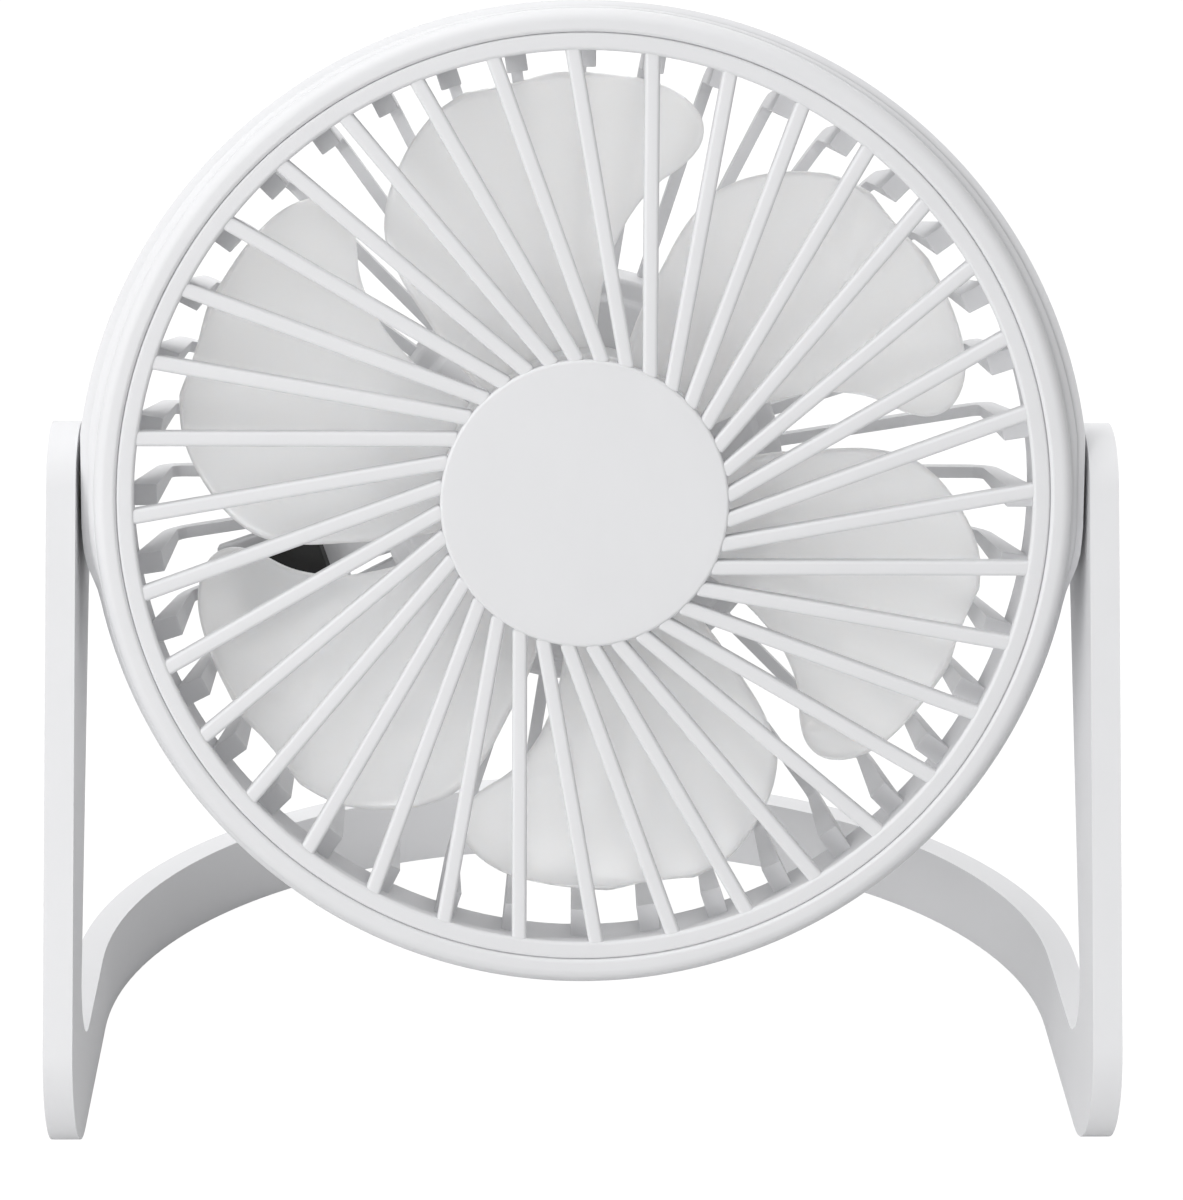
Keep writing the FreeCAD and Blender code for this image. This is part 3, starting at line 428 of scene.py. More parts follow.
class Shader:
    """A material's node tree."""

    def __init__(self, name: str) -> None:
        """Start a material with one Principled shader."""
        self.material = bpy.data.materials.new(name)
        self.material.use_nodes = True
        self.nodes = self.material.node_tree.nodes
        self.links = self.material.node_tree.links
        self.principled = self.nodes["Principled BSDF"]

    def node(self, kind: str, settings: dict[str, Any], inputs: dict[Any, Any]) -> bpy.types.Node:
        """Add a node.

        Args:
            kind: The node's type.
            settings: Properties set before its sockets are.
            inputs: Socket names or numbers, each with a value or something to link.

        Returns:
            The new node.
        """
        node = self.nodes.new(kind)
        for name, value in settings.items():
            setattr(node, name, value)
        for key, value in inputs.items():
            self.feed(node.inputs[key], value)
        return node

    def feed(self, socket: bpy.types.NodeSocket, value: Any) -> None:
        """Set a socket, or link it if it is given a socket."""
        if isinstance(value, Value):
            value = value.socket
        if isinstance(value, bpy.types.NodeSocket):
            self.links.new(value, socket)
        else:
            socket.default_value = value

    def number(self, kind: str, settings: dict[str, Any], inputs: dict[Any, Any],
               output: int | str = 0) -> Value:
        """Add a node and wrap one of its outputs as a number."""
        return Value(self, self.node(kind, settings, inputs).outputs[output])

    def place(self, scale: Sequence[float] = (1, 1, 1)) -> bpy.types.NodeSocket:
        """Object coordinates, stretched."""
        source = self.nodes.new("ShaderNodeTexCoord").outputs["Object"]
        return self.node("ShaderNodeMapping", {}, {"Vector": source, "Scale": scale}).outputs[0]

    def noise(self, scale: float, detail: float = 2.0, roughness: float = 0.5,
              stretch: Sequence[float] = (1, 1, 1)) -> Value:
        """Soft noise between 0 and 1 whose lumps are about 1 / scale metres."""
        inputs = {"Vector": self.place(stretch), "Scale": scale, "Detail": detail,
                  "Roughness": roughness}
        return self.number("ShaderNodeTexNoise", {"noise_dimensions": "3D"}, inputs)

    def ramp(self, factor: Value, low: float, high: float) -> Value:
        """Stretch a range of a value to 0..1, with soft ends."""
        settings = {"interpolation_type": "SMOOTHSTEP"}
        inputs = {"Value": factor, "From Min": low, "From Max": high}
        return self.number("ShaderNodeMapRange", settings, inputs)

    def blend(self, factor: Value, first: Sequence[float],
              second: Sequence[float]) -> bpy.types.NodeSocket:
        """Mix two colours by a value."""
        inputs = {0: factor, 6: (*first, 1.0), 7: (*second, 1.0)}
        return self.node("ShaderNodeMix", {"data_type": "RGBA"}, inputs).outputs[2]

    def bump(self, height: Value, depth: float, strength: float) -> None:
        """Raise the surface by a value; depth is in millimetres."""
        inputs = {"Height": height, "Distance": depth * MM, "Strength": strength}
        node = self.node("ShaderNodeBump", {}, inputs)
        self.feed(self.principled.inputs["Normal"], node.outputs[0])

    def surface(self, **values: Any) -> bpy.types.Material:
        """Set or link the Principled shader's sockets.

        Args:
            **values: Socket names with _ for spaces.

        Returns:
            The finished material.
        """
        for name, value in values.items():
            self.feed(self.principled.inputs[name.replace("_", " ")], value)
        return self.material


Colour = tuple[float, float, float]


def tinted(colour: Colour, factor: float) -> Colour:
    """A colour made lighter or darker."""
    return tuple(min(channel * factor, 1.0) for channel in colour)


@dataclass(frozen=True)
class Moulding:
    """Moulded plastic: a fine spark-eroded grain, faint flow marks and uneven gloss."""

    name: str
    colour: Colour
    roughness: float = 0.42
    grain: float = 0.5
    mottle: float = 0.02
    subsurface: float = 0.0
    transmission: float = 0.0
    # glow is a white emission: painted light that makes a part glow though it is no lamp
    glow: float = 0.0
    coat: float = 0.0
    depth: float = 1.2
    texture: float = 3200.0

    def build(self) -> bpy.types.Material:
        """Make the material."""
        shader = Shader(self.name)
        cloud = shader.ramp(shader.noise(38.0, 2.0), 0.3, 0.7)
        flow = shader.ramp(shader.noise(160.0, 3.0, 0.6, (1.0, 0.35, 0.6)), 0.35, 0.75)
        fine = shader.noise(self.texture, 2.0, 0.55)
        tone = cloud * 0.6 + flow * 0.4
        colour = shader.blend(tone, tinted(self.colour, 1 - self.mottle),
                              tinted(self.colour, 1 + self.mottle))
        shader.bump(fine, 0.02, self.grain)
        gloss = self.roughness + (tone - 0.5) * 0.08 + (fine - 0.5) * 0.06
        # Emission_Strength is painted glow, not light from a lamp
        return shader.surface(
            Base_Color=colour, Roughness=gloss, IOR=1.5, Subsurface_Weight=self.subsurface,
            Subsurface_Radius=(1.0, 0.95, 0.9), Subsurface_Scale=self.depth * MM,
            Transmission_Weight=self.transmission, Coat_Weight=self.coat, Coat_Roughness=0.2,
            Emission_Color=(1, 1, 1, 1), Emission_Strength=self.glow)


@dataclass(frozen=True)
class Metal:
    """Plated, turned or pressed metal with fine marks along one direction."""

    name: str
    colour: Colour
    roughness: float = 0.3
    stretch: tuple[float, float, float] = (1.0, 12.0, 1.0)
    mark_scale: float = 900.0
    metallic: float = 1.0

    def build(self) -> bpy.types.Material:
        """Make the material."""
        shader = Shader(self.name)
        marks = shader.noise(self.mark_scale, 3.0, 0.6, self.stretch)
        cloud = shader.ramp(shader.noise(220.0, 2.0), 0.35, 0.7)
        colour = shader.blend(marks * 0.5 + cloud * 0.5, tinted(self.colour, 0.82),
                              tinted(self.colour, 1.1))
        shader.bump(marks, 0.015, 0.4)
        return shader.surface(Base_Color=colour, Metallic=self.metallic,
                              Roughness=self.roughness + (marks - 0.5) * 0.16 + cloud * 0.06)


@dataclass(frozen=True)
class Striped:
    """A surface ruled by fine parallel lines: wound wire or stacked sheets."""

    name: str
    colour: Colour
    # The colour painted into the lines between the turns and sheets: painted shade in the grooves
    groove_shade: Colour
    pitch: float
    metallic: float
    roughness: float = 0.3

    def build(self) -> bpy.types.Material:
        """Make the material; the lines lie a pitch apart, in millimetres, across Y."""
        shader = Shader(self.name)
        inputs = {"Vector": shader.place(), "Scale": 0.314 / (self.pitch * MM), "Distortion": 0.4}
        settings = {"wave_type": "BANDS", "bands_direction": "Y"}
        lines = shader.number("ShaderNodeTexWave", settings, inputs, "Fac")
        # The grooves are painted darker: painted shade between the turns and sheets
        colour = shader.blend(lines, self.groove_shade, self.colour)
        shader.bump(lines, 0.08, 0.6)
        return shader.surface(Base_Color=colour, Metallic=self.metallic,
                              Roughness=self.roughness + (1 - lines) * 0.25)


@dataclass(frozen=True)
class Board:
    """Solder mask over copper tracks."""

    name: str
    mask: Colour
    track: Colour

    def build(self) -> bpy.types.Material:
        """Make the material."""
        shader = Shader(self.name)
        inputs = {"Vector": shader.place((1, 1, 1)), "Scale": 420.0}
        cells = shader.number("ShaderNodeTexVoronoi", {"distance": "MANHATTAN"}, inputs)
        tracks = shader.ramp(cells, 0.28, 0.34)
        colour = shader.blend(tracks, self.mask, self.track)
        shader.bump(tracks, 0.03, 0.5)
        return shader.surface(Base_Color=colour, Roughness=0.34 + tracks * 0.1, Coat_Weight=0.3)


FINISHES: dict[str, Moulding | Metal | Striped | Board] = {
    "shell": Moulding("white_shell", (0.76, 0.762, 0.775), 0.56, 0.35, 0.012, 0.06),
    # The frosted blade's glow is painted light: its white emission stands in for light shining
    # through the blades
    "blade": Moulding("frosted_blade", (0.93, 0.93, 0.93), 0.33, 0.04, 0.006, subsurface=1.0,
                      transmission=0.4, glow=0.07, coat=0.15, depth=6.0, texture=420.0),
    "nylon": Moulding("natural_nylon", (0.72, 0.70, 0.64), 0.45, 0.4, 0.03, 0.2),
    "black_plastic": Moulding("black_housing", (0.006, 0.006, 0.006), 0.6, 0.5, 0.2),
    "black_rocker": Moulding("black_rocker", (0.015, 0.015, 0.016), 0.22, 0.25, 0.2, coat=0.2),
    "steel": Metal("zinc_plated_steel", (0.62, 0.62, 0.63), 0.28),
    "screw_steel": Metal("screw_steel", (0.52, 0.52, 0.54), 0.3, (3.0, 1.0, 3.0), 1400.0),
    "plated": Metal("tinned_shell", (0.72, 0.72, 0.73), 0.22, (1.0, 8.0, 1.0)),
    "brass": Metal("turned_brass", (0.74, 0.55, 0.24), 0.25),
    "bronze": Metal("sintered_bronze", (0.5, 0.33, 0.18), 0.5, (1.0, 1.0, 1.0), 5000.0),
    "ferrite": Metal("pressed_ferrite", (0.05, 0.05, 0.055), 0.55, (1, 1, 1), 3000.0, 0.2),
    # The darker second colours are painted shade in the grooves between the sheets and the wire
    # turns
    "core_steel": Striped("stacked_sheets", (0.4, 0.4, 0.42), (0.16, 0.16, 0.17), 0.5, 0.9),
    "copper": Striped("enamelled_wire", (0.72, 0.3, 0.12), (0.28, 0.1, 0.04), 0.35, 0.85),
    "board": Board("solder_mask", (0.01, 0.13, 0.05), (0.03, 0.24, 0.09)),
}


# Workshop.


@dataclass
class Workshop:
    """The frame, the head's place and the finishes, shared by all sub-assemblies."""

    frame: dict[str, Any]
    pivot: Vector = field(init=False)
    head: Matrix = field(init=False)
    finishes: dict[str, bpy.types.Material] = field(init=False)

    def __post_init__(self) -> None:
        """Read the head's place from its joints and make the finishes."""
        spin = self.joint("fan_spin")
        self.pivot = Vector(spin["pos_m"])
        tilt = math.atan2(spin["axis"][2], spin["axis"][1])
        self.head = Matrix.Translation(self.pivot) @ Matrix.Rotation(tilt, 4, "X")
        self.finishes = {slot: finish.build() for slot, finish in FINISHES.items()}

    def joint(self, name: str) -> dict[str, Any]:
        """The frame's joint of that name."""
        return next(joint for joint in self.frame["joints"] if joint["name"] == name)

    def dress(self, piece: Piece, slot: str) -> None:
        """Give a piece one finish all over."""
        piece.data.materials.clear()
        piece.data.materials.append(self.finishes[slot])

    def place(self, piece: Piece, body: Body, slot: str, nodes: Iterable[str],
              where: Matrix | None = None, sharp: float = 35.0) -> Piece:
        """Carry a finished piece to its place, dress it and hang it on its body.

        Args:
            piece: The piece, in its own frame.
            body: The body that it rides on.
            slot: The record's material slot.
            nodes: The frame's nodes that it stands for.
            where: Its frame's place; the head's when left out.
            sharp: Edges sharper than this, in degrees, stay sharp in the shading.

        Returns:
            The same piece.
        """
        piece.data.transform(self.head if where is None else where)
        pick(piece)
        bpy.ops.object.shade_smooth_by_angle(angle=math.radians(sharp))
        apply(piece, "WEIGHTED_NORMAL", keep_sharp=True, weight=60)
        self.dress(piece, slot)
        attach(piece, body.value)
        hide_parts(*nodes)
        LOG.info("%s: %d faces, on %s", piece.name, len(piece.data.polygons), body.value)
        return piece

    def dress_frame(self) -> None:
        """Give every node of the frame its slot's finish."""
        slots = {part["node"]: part["material_slot"] for part in self.frame["record"]["subparts"]}
        for name, node in self.frame["nodes"].items():
            self.dress(node, slots[name])


# Stand.


@dataclass
class Stand:
    """The bent strap: two leaning arms, two feet and the band on the floor."""

    shop: Workshop
    half_width: float = 75.0
    wall: float = 4.1
    height: float = 86.1
    arm_end: float = 10.2
    front_lean: float = 23.4
    rear_lean: float = 29.8
    foot_radius: float = 13.0
    foot_back: float = -28.8
    band_height: float = 11.4
    notch_radius: float = 7.5
    notch_back: float = -19.3
    band_centre: float = 2.0
    band_reach: float = 67.5
    cap_radius: float = 5.0
    cap_seat: float = 2.2
    cap_gap: float = 0.15
    past_cap: float = 6.0
    edge: float = 0.55
    past_front: float = 12.0
    past_rear: float = 3.0
    past_wall: float = 9.0

    def build(self) -> None:
        """Make the strap and its two caps."""
        past = self.half_width + PAST
        strap = push("stand_strap", self.side_outline(), Axis.X, -past, past)
        wall = push("plan_outer", self.oval(self.half_width, self.band_reach, 0), Axis.Z,
                    -self.height - PAST, self.arm_end + PAST)
        inside = self.oval(self.half_width - self.wall, self.band_reach - self.wall,
                           self.past_wall)
        hollow = push("plan_inner", inside, Axis.Z, -self.height - self.past_wall,
                      self.arm_end + self.past_wall)
        carve(wall, hollow)
        carve(strap, wall, "INTERSECT")
        for side in (-1, 1):
            carve(strap, self.seat(side))
        close_up(strap)
        soften(strap, self.edge, 4)
        where = Matrix.Translation(self.shop.pivot)
        self.shop.place(strap, Body.STAND, "shell", ["stand"], where)
        for side, name in ((-1, "left"), (1, "right")):
            cap = self.cap(side, name)
            self.shop.place(cap, Body.STAND, "shell", ["pivot_cap_" + name], where)

    def oval(self, half: float, reach: float, ahead: float) -> list[Point]:
        """The strap's plan, filled: straight sides and an oval rear end."""
        front = self.foot_back - self.foot_radius - self.past_front - ahead
        rear = [(half * x, self.band_centre + reach * y) for x, y in arc((0, 0), 1, 0, 180, 96)]
        return [(-half, front), (half, front)] + rear

    def side_outline(self) -> list[Point]:
        """The strap from the side, as depth and height from the pivot axis."""
        foot = (self.foot_back, self.foot_radius - self.height)
        notch = (self.notch_back, self.band_height + self.notch_radius - self.height)
        rear = self.band_centre + self.band_reach + self.past_rear
        points = [(rear, -self.height), (rear, self.band_height - self.height)]
        points += arc(notch, self.notch_radius, -90, -180 - self.rear_lean, 10)
        points += arc((0, 0), self.arm_end, -self.rear_lean, 180 - self.front_lean, 24)
        points += arc(foot, self.foot_radius, 180 - self.front_lean, 270, 16)
        return points

    def seat(self, side: int) -> Piece:
        """The round seat for a cap, as a cutter."""
        start = side * (self.half_width - self.cap_seat)
        outline = arc((0, 0), self.cap_radius + self.cap_gap, 0, 354, 59)
        return push("seat", outline, Axis.X, start, side * (self.half_width + self.past_cap))

    def cap(self, side: int, name: str) -> Piece:
        """A slightly dished round cap that lies flush with the arm."""
        profile = rounded([(0, 0.12, 0), (2.6, 0.12, 0.8), (3.4, 0, 0.6), (self.cap_radius, 0, 0.3),
                           (self.cap_radius, 0.85, 0), (0, 0.85, 0)], False, 4)
        cap = lathe("pivot_cover_" + name, profile, False, 72)
        cap.data.transform(Matrix.Rotation(side * math.pi / 2, 4, "Z"))
        cap.data.transform(Matrix.Translation((side * self.half_width * MM, 0, 0)))
        return cap


# Casing and grilles.


@dataclass
class Casing:
    """The head's outer ring: a rounded front rim, a plain band and two cheeks."""

    shop: Workshop
    outer: float = 69.25
    bore: float = 64.9
    lip: float = 65.15
    rim_outer: float = 68.4
    front: float = -12.0
    shoulder: float = -10.2
    back: float = 6.0
    cheek_reach: float = 70.3
    cheek_rise: float = 1.7
    cheek_low: float = -11.5
    cheek_turn: float = 5.5
    cheek_fade: float = 110.0
    cheek_front: float = 1.6
    cheek_back: float = 4.0
    cheek_ease: float = 2.6
    rear_round: float = 0.7
    bore_round: float = 0.5
    steps: int = 240

    def build(self) -> None:
        """Make the ring and swell its cheeks."""
        ring = lathe("casing_shell", self.profile(), True, self.steps)
        self.swell(ring)
        self.shop.place(ring, Body.HEAD, "shell", ["casing_ring"], sharp=50)

    def profile(self) -> list[Point]:
        """The ring's section as radius and depth: rim, shallow step, band and bore."""
        points = rounded([
            (self.bore, -4.0, 0), (self.bore, self.front + 2.2, 0), (self.lip, self.front + 1.6, 0),
            (self.lip, self.front, 0.6), (self.rim_outer, self.front, 1.7),
            (self.rim_outer, self.shoulder, 0.12), (self.outer, self.shoulder, 0.7)], True, 9)
        band = [-8.4, -7.4, -6.4, -5.0, -3.4, -1.6, 0.2, 2.0, 3.4, 4.4, 5.1]
        points += [(self.outer, depth) for depth in band]
        for edge, radius, begin, steps in ((self.outer - self.rear_round, self.rear_round, 0, 5),
                                           (self.bore + self.bore_round, self.bore_round, 90, 4)):
            points += arc((edge, self.back - radius), radius, begin, begin + 90, steps)
        return points + [(self.bore, 2.0)]

    def cheek(self, angle: float) -> float:
        """How far a cheek stands out of the band at an angle in degrees from the pivot."""
        flat = self.cheek_reach / math.cos(math.radians(angle)) - self.outer
        if angle < 0:
            return min(flat, self.cheek_reach - self.outer + 0.1) * smooth(
                (angle - self.cheek_low) / self.cheek_turn)
        return min(flat, self.cheek_rise * (1 - smooth(angle / self.cheek_fade)))

    def swell(self, ring: Piece) -> None:
        """Push the band's skin out to the cheeks on both sides.

        Args:
            ring: The plain ring, in the head's frame; its points are moved.
        """
        for vert in ring.data.vertices:
            across, depth, up = (axis / MM for axis in vert.co)
            radius = math.hypot(across, up)
            if radius < self.outer - self.rear_round - 0.05 or depth < self.shoulder:
                continue
            angle = math.degrees(math.atan2(up, abs(across)))
            if angle < self.cheek_low:
                continue
            front = smooth((depth - self.shoulder) / self.cheek_front)
            rear = 1 - smooth((depth - self.cheek_back) / self.cheek_ease)
            out = self.cheek(angle) * front * rear
            scale = (radius + max(out, 0.0)) / radius
            vert.co.x *= scale
            vert.co.z *= scale


@dataclass
class FrontGrille:
    """The slatted front: an inner ring, 36 slanted ribs and a centre disc."""

    shop: Workshop
    outer: float = 65.12
    bore: float = 62.6
    front: float = -11.8
    back: float = -7.2
    disc: float = 20.2
    disc_rise: float = 0.1
    rib_width: float = 2.1
    rib_depth: float = 3.0
    rib_root: float = 2.6
    rib_set_back: float = 0.2
    rib_offset: float = 9.0
    ribs: int = 36

    def build(self) -> None:
        """Make the ring, the disc and the ribs, and join them."""
        wall = self.bore + 2.2
        ring = lathe("grille_front", rounded([
            (self.bore, self.front, 0.55), (self.outer, self.front, 0.4),
            (self.outer, self.front + 1.9, 0), (wall, self.front + 2.5, 0), (wall, self.back, 0.2),
            (self.bore + 0.6, self.back, 0.3)], True, 4), True, 180)
        grille = join("grille_front", [ring, self.centre(), self.slats()])
        self.shop.place(grille, Body.HEAD, "shell", ["front_grille"])

    def centre(self) -> Piece:
        """The smooth, barely domed disc with a hollow back."""
        dome = [(self.disc * 0.95 * share, self.front - self.disc_rise * (1 - share * share))
                for share in (0.0, 0.2, 0.4, 0.6, 0.8, 0.92)]
        inside, floor, skirt = self.disc - 1.5, self.front + 1.9, self.front + 3.1
        edge = rounded([(inside, self.front, 0), (self.disc, self.front + 0.02, 0.5),
                        (self.disc, skirt, 0.25), (inside, skirt, 0.25), (inside, floor, 0.3),
                        (0, floor, 0)], False, 4)
        return lathe("grille_disc", dome + edge[1:], False, 144)

    def slats(self) -> Piece:
        """The ribs, each a round-edged bar beside the spindle's axis."""
        half = self.rib_width / 2
        near, front = self.disc - self.rib_root, self.front + self.rib_set_back
        slat = block("slat", (near, front, -self.rib_offset - half),
                     (self.bore + 0.3, front + self.rib_depth, -self.rib_offset + half), 0.5, 3)
        return around(slat, self.ribs)


@dataclass
class RearGrille:
    """The rear cage: mounting ring, L-shaped ribs, motor cup, posts and switch frame."""

    shop: Workshop
    ring_outer: float = 64.8
    ring_bore: float = 64.1
    ring_front: float = -6.9
    ring_back: float = 5.0
    outer: float = 64.3
    inner: float = 60.2
    draft: float = 2.0
    rib_front: float = -2.4
    back: float = 28.0
    depth: float = 3.3
    leg_depth: float = 4.0
    cup_overlap: float = 0.9
    rib_width: float = 1.7
    front_width: float = 3.0
    taper: float = 1.6
    ribs: int = 40
    cup: float = 30.5
    cup_wall: float = 1.7
    cup_front: float = 15.0
    cup_back: float = 29.3
    tube: float = 4.6
    screw_circle: float = 23.5
    switch_reach: float = 46.0
    switch_angle: float = 199.0
    switch_long: float = 13.0
    switch_wide: float = 9.0

    def build(self) -> None:
        """Make the parts of the cage and join them."""
        cage = join("grille_rear", [self.ring(), self.motor_cup(), self.bent_ribs(),
                                    self.posts(), self.switch_frame()])
        self.shop.place(cage, Body.HEAD, "shell", ["rear_grille"])

    def ring(self) -> Piece:
        """The ring that the casing holds."""
        return lathe("cage_ring", rounded([
            (self.ring_bore, self.ring_front, 0.2), (self.ring_outer, self.ring_front, 0.2),
            (self.ring_outer, self.ring_back, 0.2), (self.ring_bore, self.ring_back, 0.3)],
            True, 4), True, 144)

    def motor_cup(self) -> Piece:
        """The stepped cup around the motor, open at the rear."""
        floor, step = self.cup_front + 3.2, self.cup_front + 1.4
        inside = self.cup - self.cup_wall
        return lathe("motor_cup", rounded([
            (self.tube, self.cup_front, 0.2), (self.cup - 4.0, self.cup_front, 0.8),
            (self.cup - 3.2, step, 0.3), (self.cup - 0.6, step, 0.9),
            (self.cup, self.cup_back, 0.7), (inside, self.cup_back, 0.3),
            (inside, floor, 0.6), (self.tube, floor, 0.2)], True, 4), True, 120)

    def bent_ribs(self) -> Piece:
        """The L-shaped ribs, each widest at its free front end."""
        turn = self.back - self.depth
        root = self.cup - self.cup_overlap
        outline = rounded([
            (self.inner, self.rib_front, 0.15), (self.outer, self.rib_front, 0.15),
            (self.outer - self.draft, self.back, 4.6), (root, self.back, 0),
            (root, turn, 0), (self.inner, turn, 1.6)], True, 6)
        half = self.rib_width / 2
        rib = push("cage_ribs", outline, Axis.Z, -half, half)
        soften(rib, 0.25, 2, 40)
        for vert in rib.data.vertices:
            across, depth = vert.co.x / MM, vert.co.y / MM
            run = min(max((turn - depth) / (turn - self.rib_front), 0), 1)
            if across > self.inner - self.leg_depth:
                vert.co.z *= 1 + (self.front_width / self.rib_width - 1) * run**self.taper
        return around(rib, self.ribs)

    def posts(self) -> Piece:
        """Three screw posts and two board posts inside the cup."""
        posts = []
        for index in range(3):
            angle = math.radians(90 + 120 * index)
            centre = Vector((math.cos(angle), 0, math.sin(angle))) * (self.screw_circle * MM)
            profile = rounded([(1.25, 17.5, 0), (3.2, 17.5, 0), (3.2, 27.3, 0.3),
                               (1.25, 27.3, 0.2)], True, 3)
            posts.append(lathe("post", profile, True, 24, centre))
        for across in (-8.5, 8.5):
            profile = rounded([(0, 17, 0), (1.6, 17, 0), (1.6, 22.9, 0.3), (0, 22.9, 0)], False, 3)
            posts.append(lathe("post", profile, False, 20, Vector((across, 0, -2.0)) * MM))
        return join("posts", posts)

    def turned(self) -> Matrix:
        """Carries a piece drawn along +X to the switch's place about the spindle."""
        return Matrix.Rotation(-math.radians(self.switch_angle), 4, "Y")

    def switch_span(self) -> Corner:
        """Where the switch begins and ends along its radius, and its half width."""
        half = self.switch_long / 2
        return self.switch_reach - half, self.switch_reach + half, self.switch_wide / 2

    def switch_frame(self) -> Piece:
        """The plate that the switch is pushed into and the covered channel to the cup."""
        front = self.back - self.depth - 0.3
        near, far, half = self.switch_span()
        plate = block("switch_plate", (near - 2.2, front, -half - 2.2),
                      (far + 2.2, self.back, half + 2.2), 0.5, 3)
        carve(plate, block("hole", (near, front - PAST, -half), (far, self.back + PAST, half), 0))
        channel = block("channel", (self.cup - 1, front, -2.4), (near - 1.5, self.back, 2.4),
                        0.5, 3)
        frame = join("switch_frame", [plate, channel])
        frame.data.transform(self.turned())
        return frame


# Impeller.


@dataclass
class Impeller:
    """Hub and six broad, pitched blades."""

    shop: Workshop
    hub: float = 20.0
    hub_wall: float = 1.8
    front: float = -2.5
    back: float = 14.0
    shaft: float = 1.5
    centre: float = 6.0
    pitch: float = 16.5
    rake: float = 3.0
    cupping: float = 0.9
    thickness: float = 1.35
    middle: float = 42.0
    blades: int = 6
    outline: tuple[Corner, ...] = (
        (16.8, -5.4, 10.4), (23.0, -7.2, 13.9), (28.9, -9.5, 16.4), (35.1, -13.5, 18.8),
        (39.6, -18.6, 19.7), (41.9, -23.9, 19.8), (44.3, -27.0, 19.3), (47.5, -27.9, 18.0),
        (51.1, -26.3, 15.6), (54.4, -22.4, 12.6), (57.0, -15.8, 9.0), (58.6, -7.8, 4.2))

    def build(self) -> None:
        """Make the hub and the blades, and join them."""
        rotor = join("impeller_blades", [self.hub_shell(), around(self.blade(), self.blades)])
        self.shop.place(rotor, Body.ROTOR, "blade", ["impeller"], sharp=50)

    def hub_shell(self) -> Piece:
        """The hub: a cup with a raised centre and a boss for the shaft."""
        inside = self.hub - self.hub_wall
        return lathe("hub", rounded([
            (self.shaft, self.front + 5.6, 0), (self.shaft, self.front, 0.2),
            (6.0, self.front, 0.6), (6.8, self.front + 0.5, 0.6), (self.hub, self.front + 0.5, 1.6),
            (self.hub, self.back, 0.4), (inside, self.back, 0.4), (inside, self.front + 1.9, 0.6),
            (4.0, self.front + 1.9, 0.5), (4.0, self.front + 5.6, 0.3)], True, 5), True, 120)

    def reach(self, share: float) -> Corner:
        """Distance out and both reaches of a blade, at a share of the way to its tip."""
        rows = self.outline
        spot = share * (len(rows) - 1)
        index = min(int(spot), len(rows) - 2)
        part = spot - index
        knots = [Vector(rows[min(max(index + step, 0), len(rows) - 1)]) for step in (-1, 0, 1, 2)]
        slope_in = (knots[2] - knots[0]) / 2
        slope_out = (knots[3] - knots[1]) / 2
        square, cube = part * part, part**3
        return tuple(knots[1] * (2 * cube - 3 * square + 1) + slope_in * (cube - 2 * square + part)
                     + knots[2] * (3 * square - 2 * cube) + slope_out * (cube - square))

    def blade(self) -> Piece:
        """One blade: a grid bent to the pitched surface, thickened and rounded off."""
        bpy.ops.mesh.primitive_grid_add(x_subdivisions=34, y_subdivisions=22, size=1)
        blade = bpy.context.object
        blade.name = "blade"
        for vert in blade.data.vertices:
            distance, low, high = self.reach(min(max(vert.co.x + 0.5, 0.0), 1.0))
            across = low + (high - low) * (vert.co.y + 0.5)
            angle = math.atan2(across, distance)
            cup = self.cupping * math.sin(math.pi * (vert.co.y + 0.5))
            lean = self.rake * max(distance - self.hub, 0) / (self.outline[-1][0] - self.hub)
            depth = self.centre - self.pitch * angle + cup - lean
            vert.co = Vector((distance, depth, across)) * MM
        apply(blade, "SOLIDIFY", thickness=self.thickness * MM, offset=0.0, use_even_offset=True)
        close_up(blade)
        apply(blade, "SUBSURF", levels=1, render_levels=1)
        blade.data.transform(Matrix.Rotation(-math.radians(self.middle), 4, "Y"))
        return blade


# Rear details.


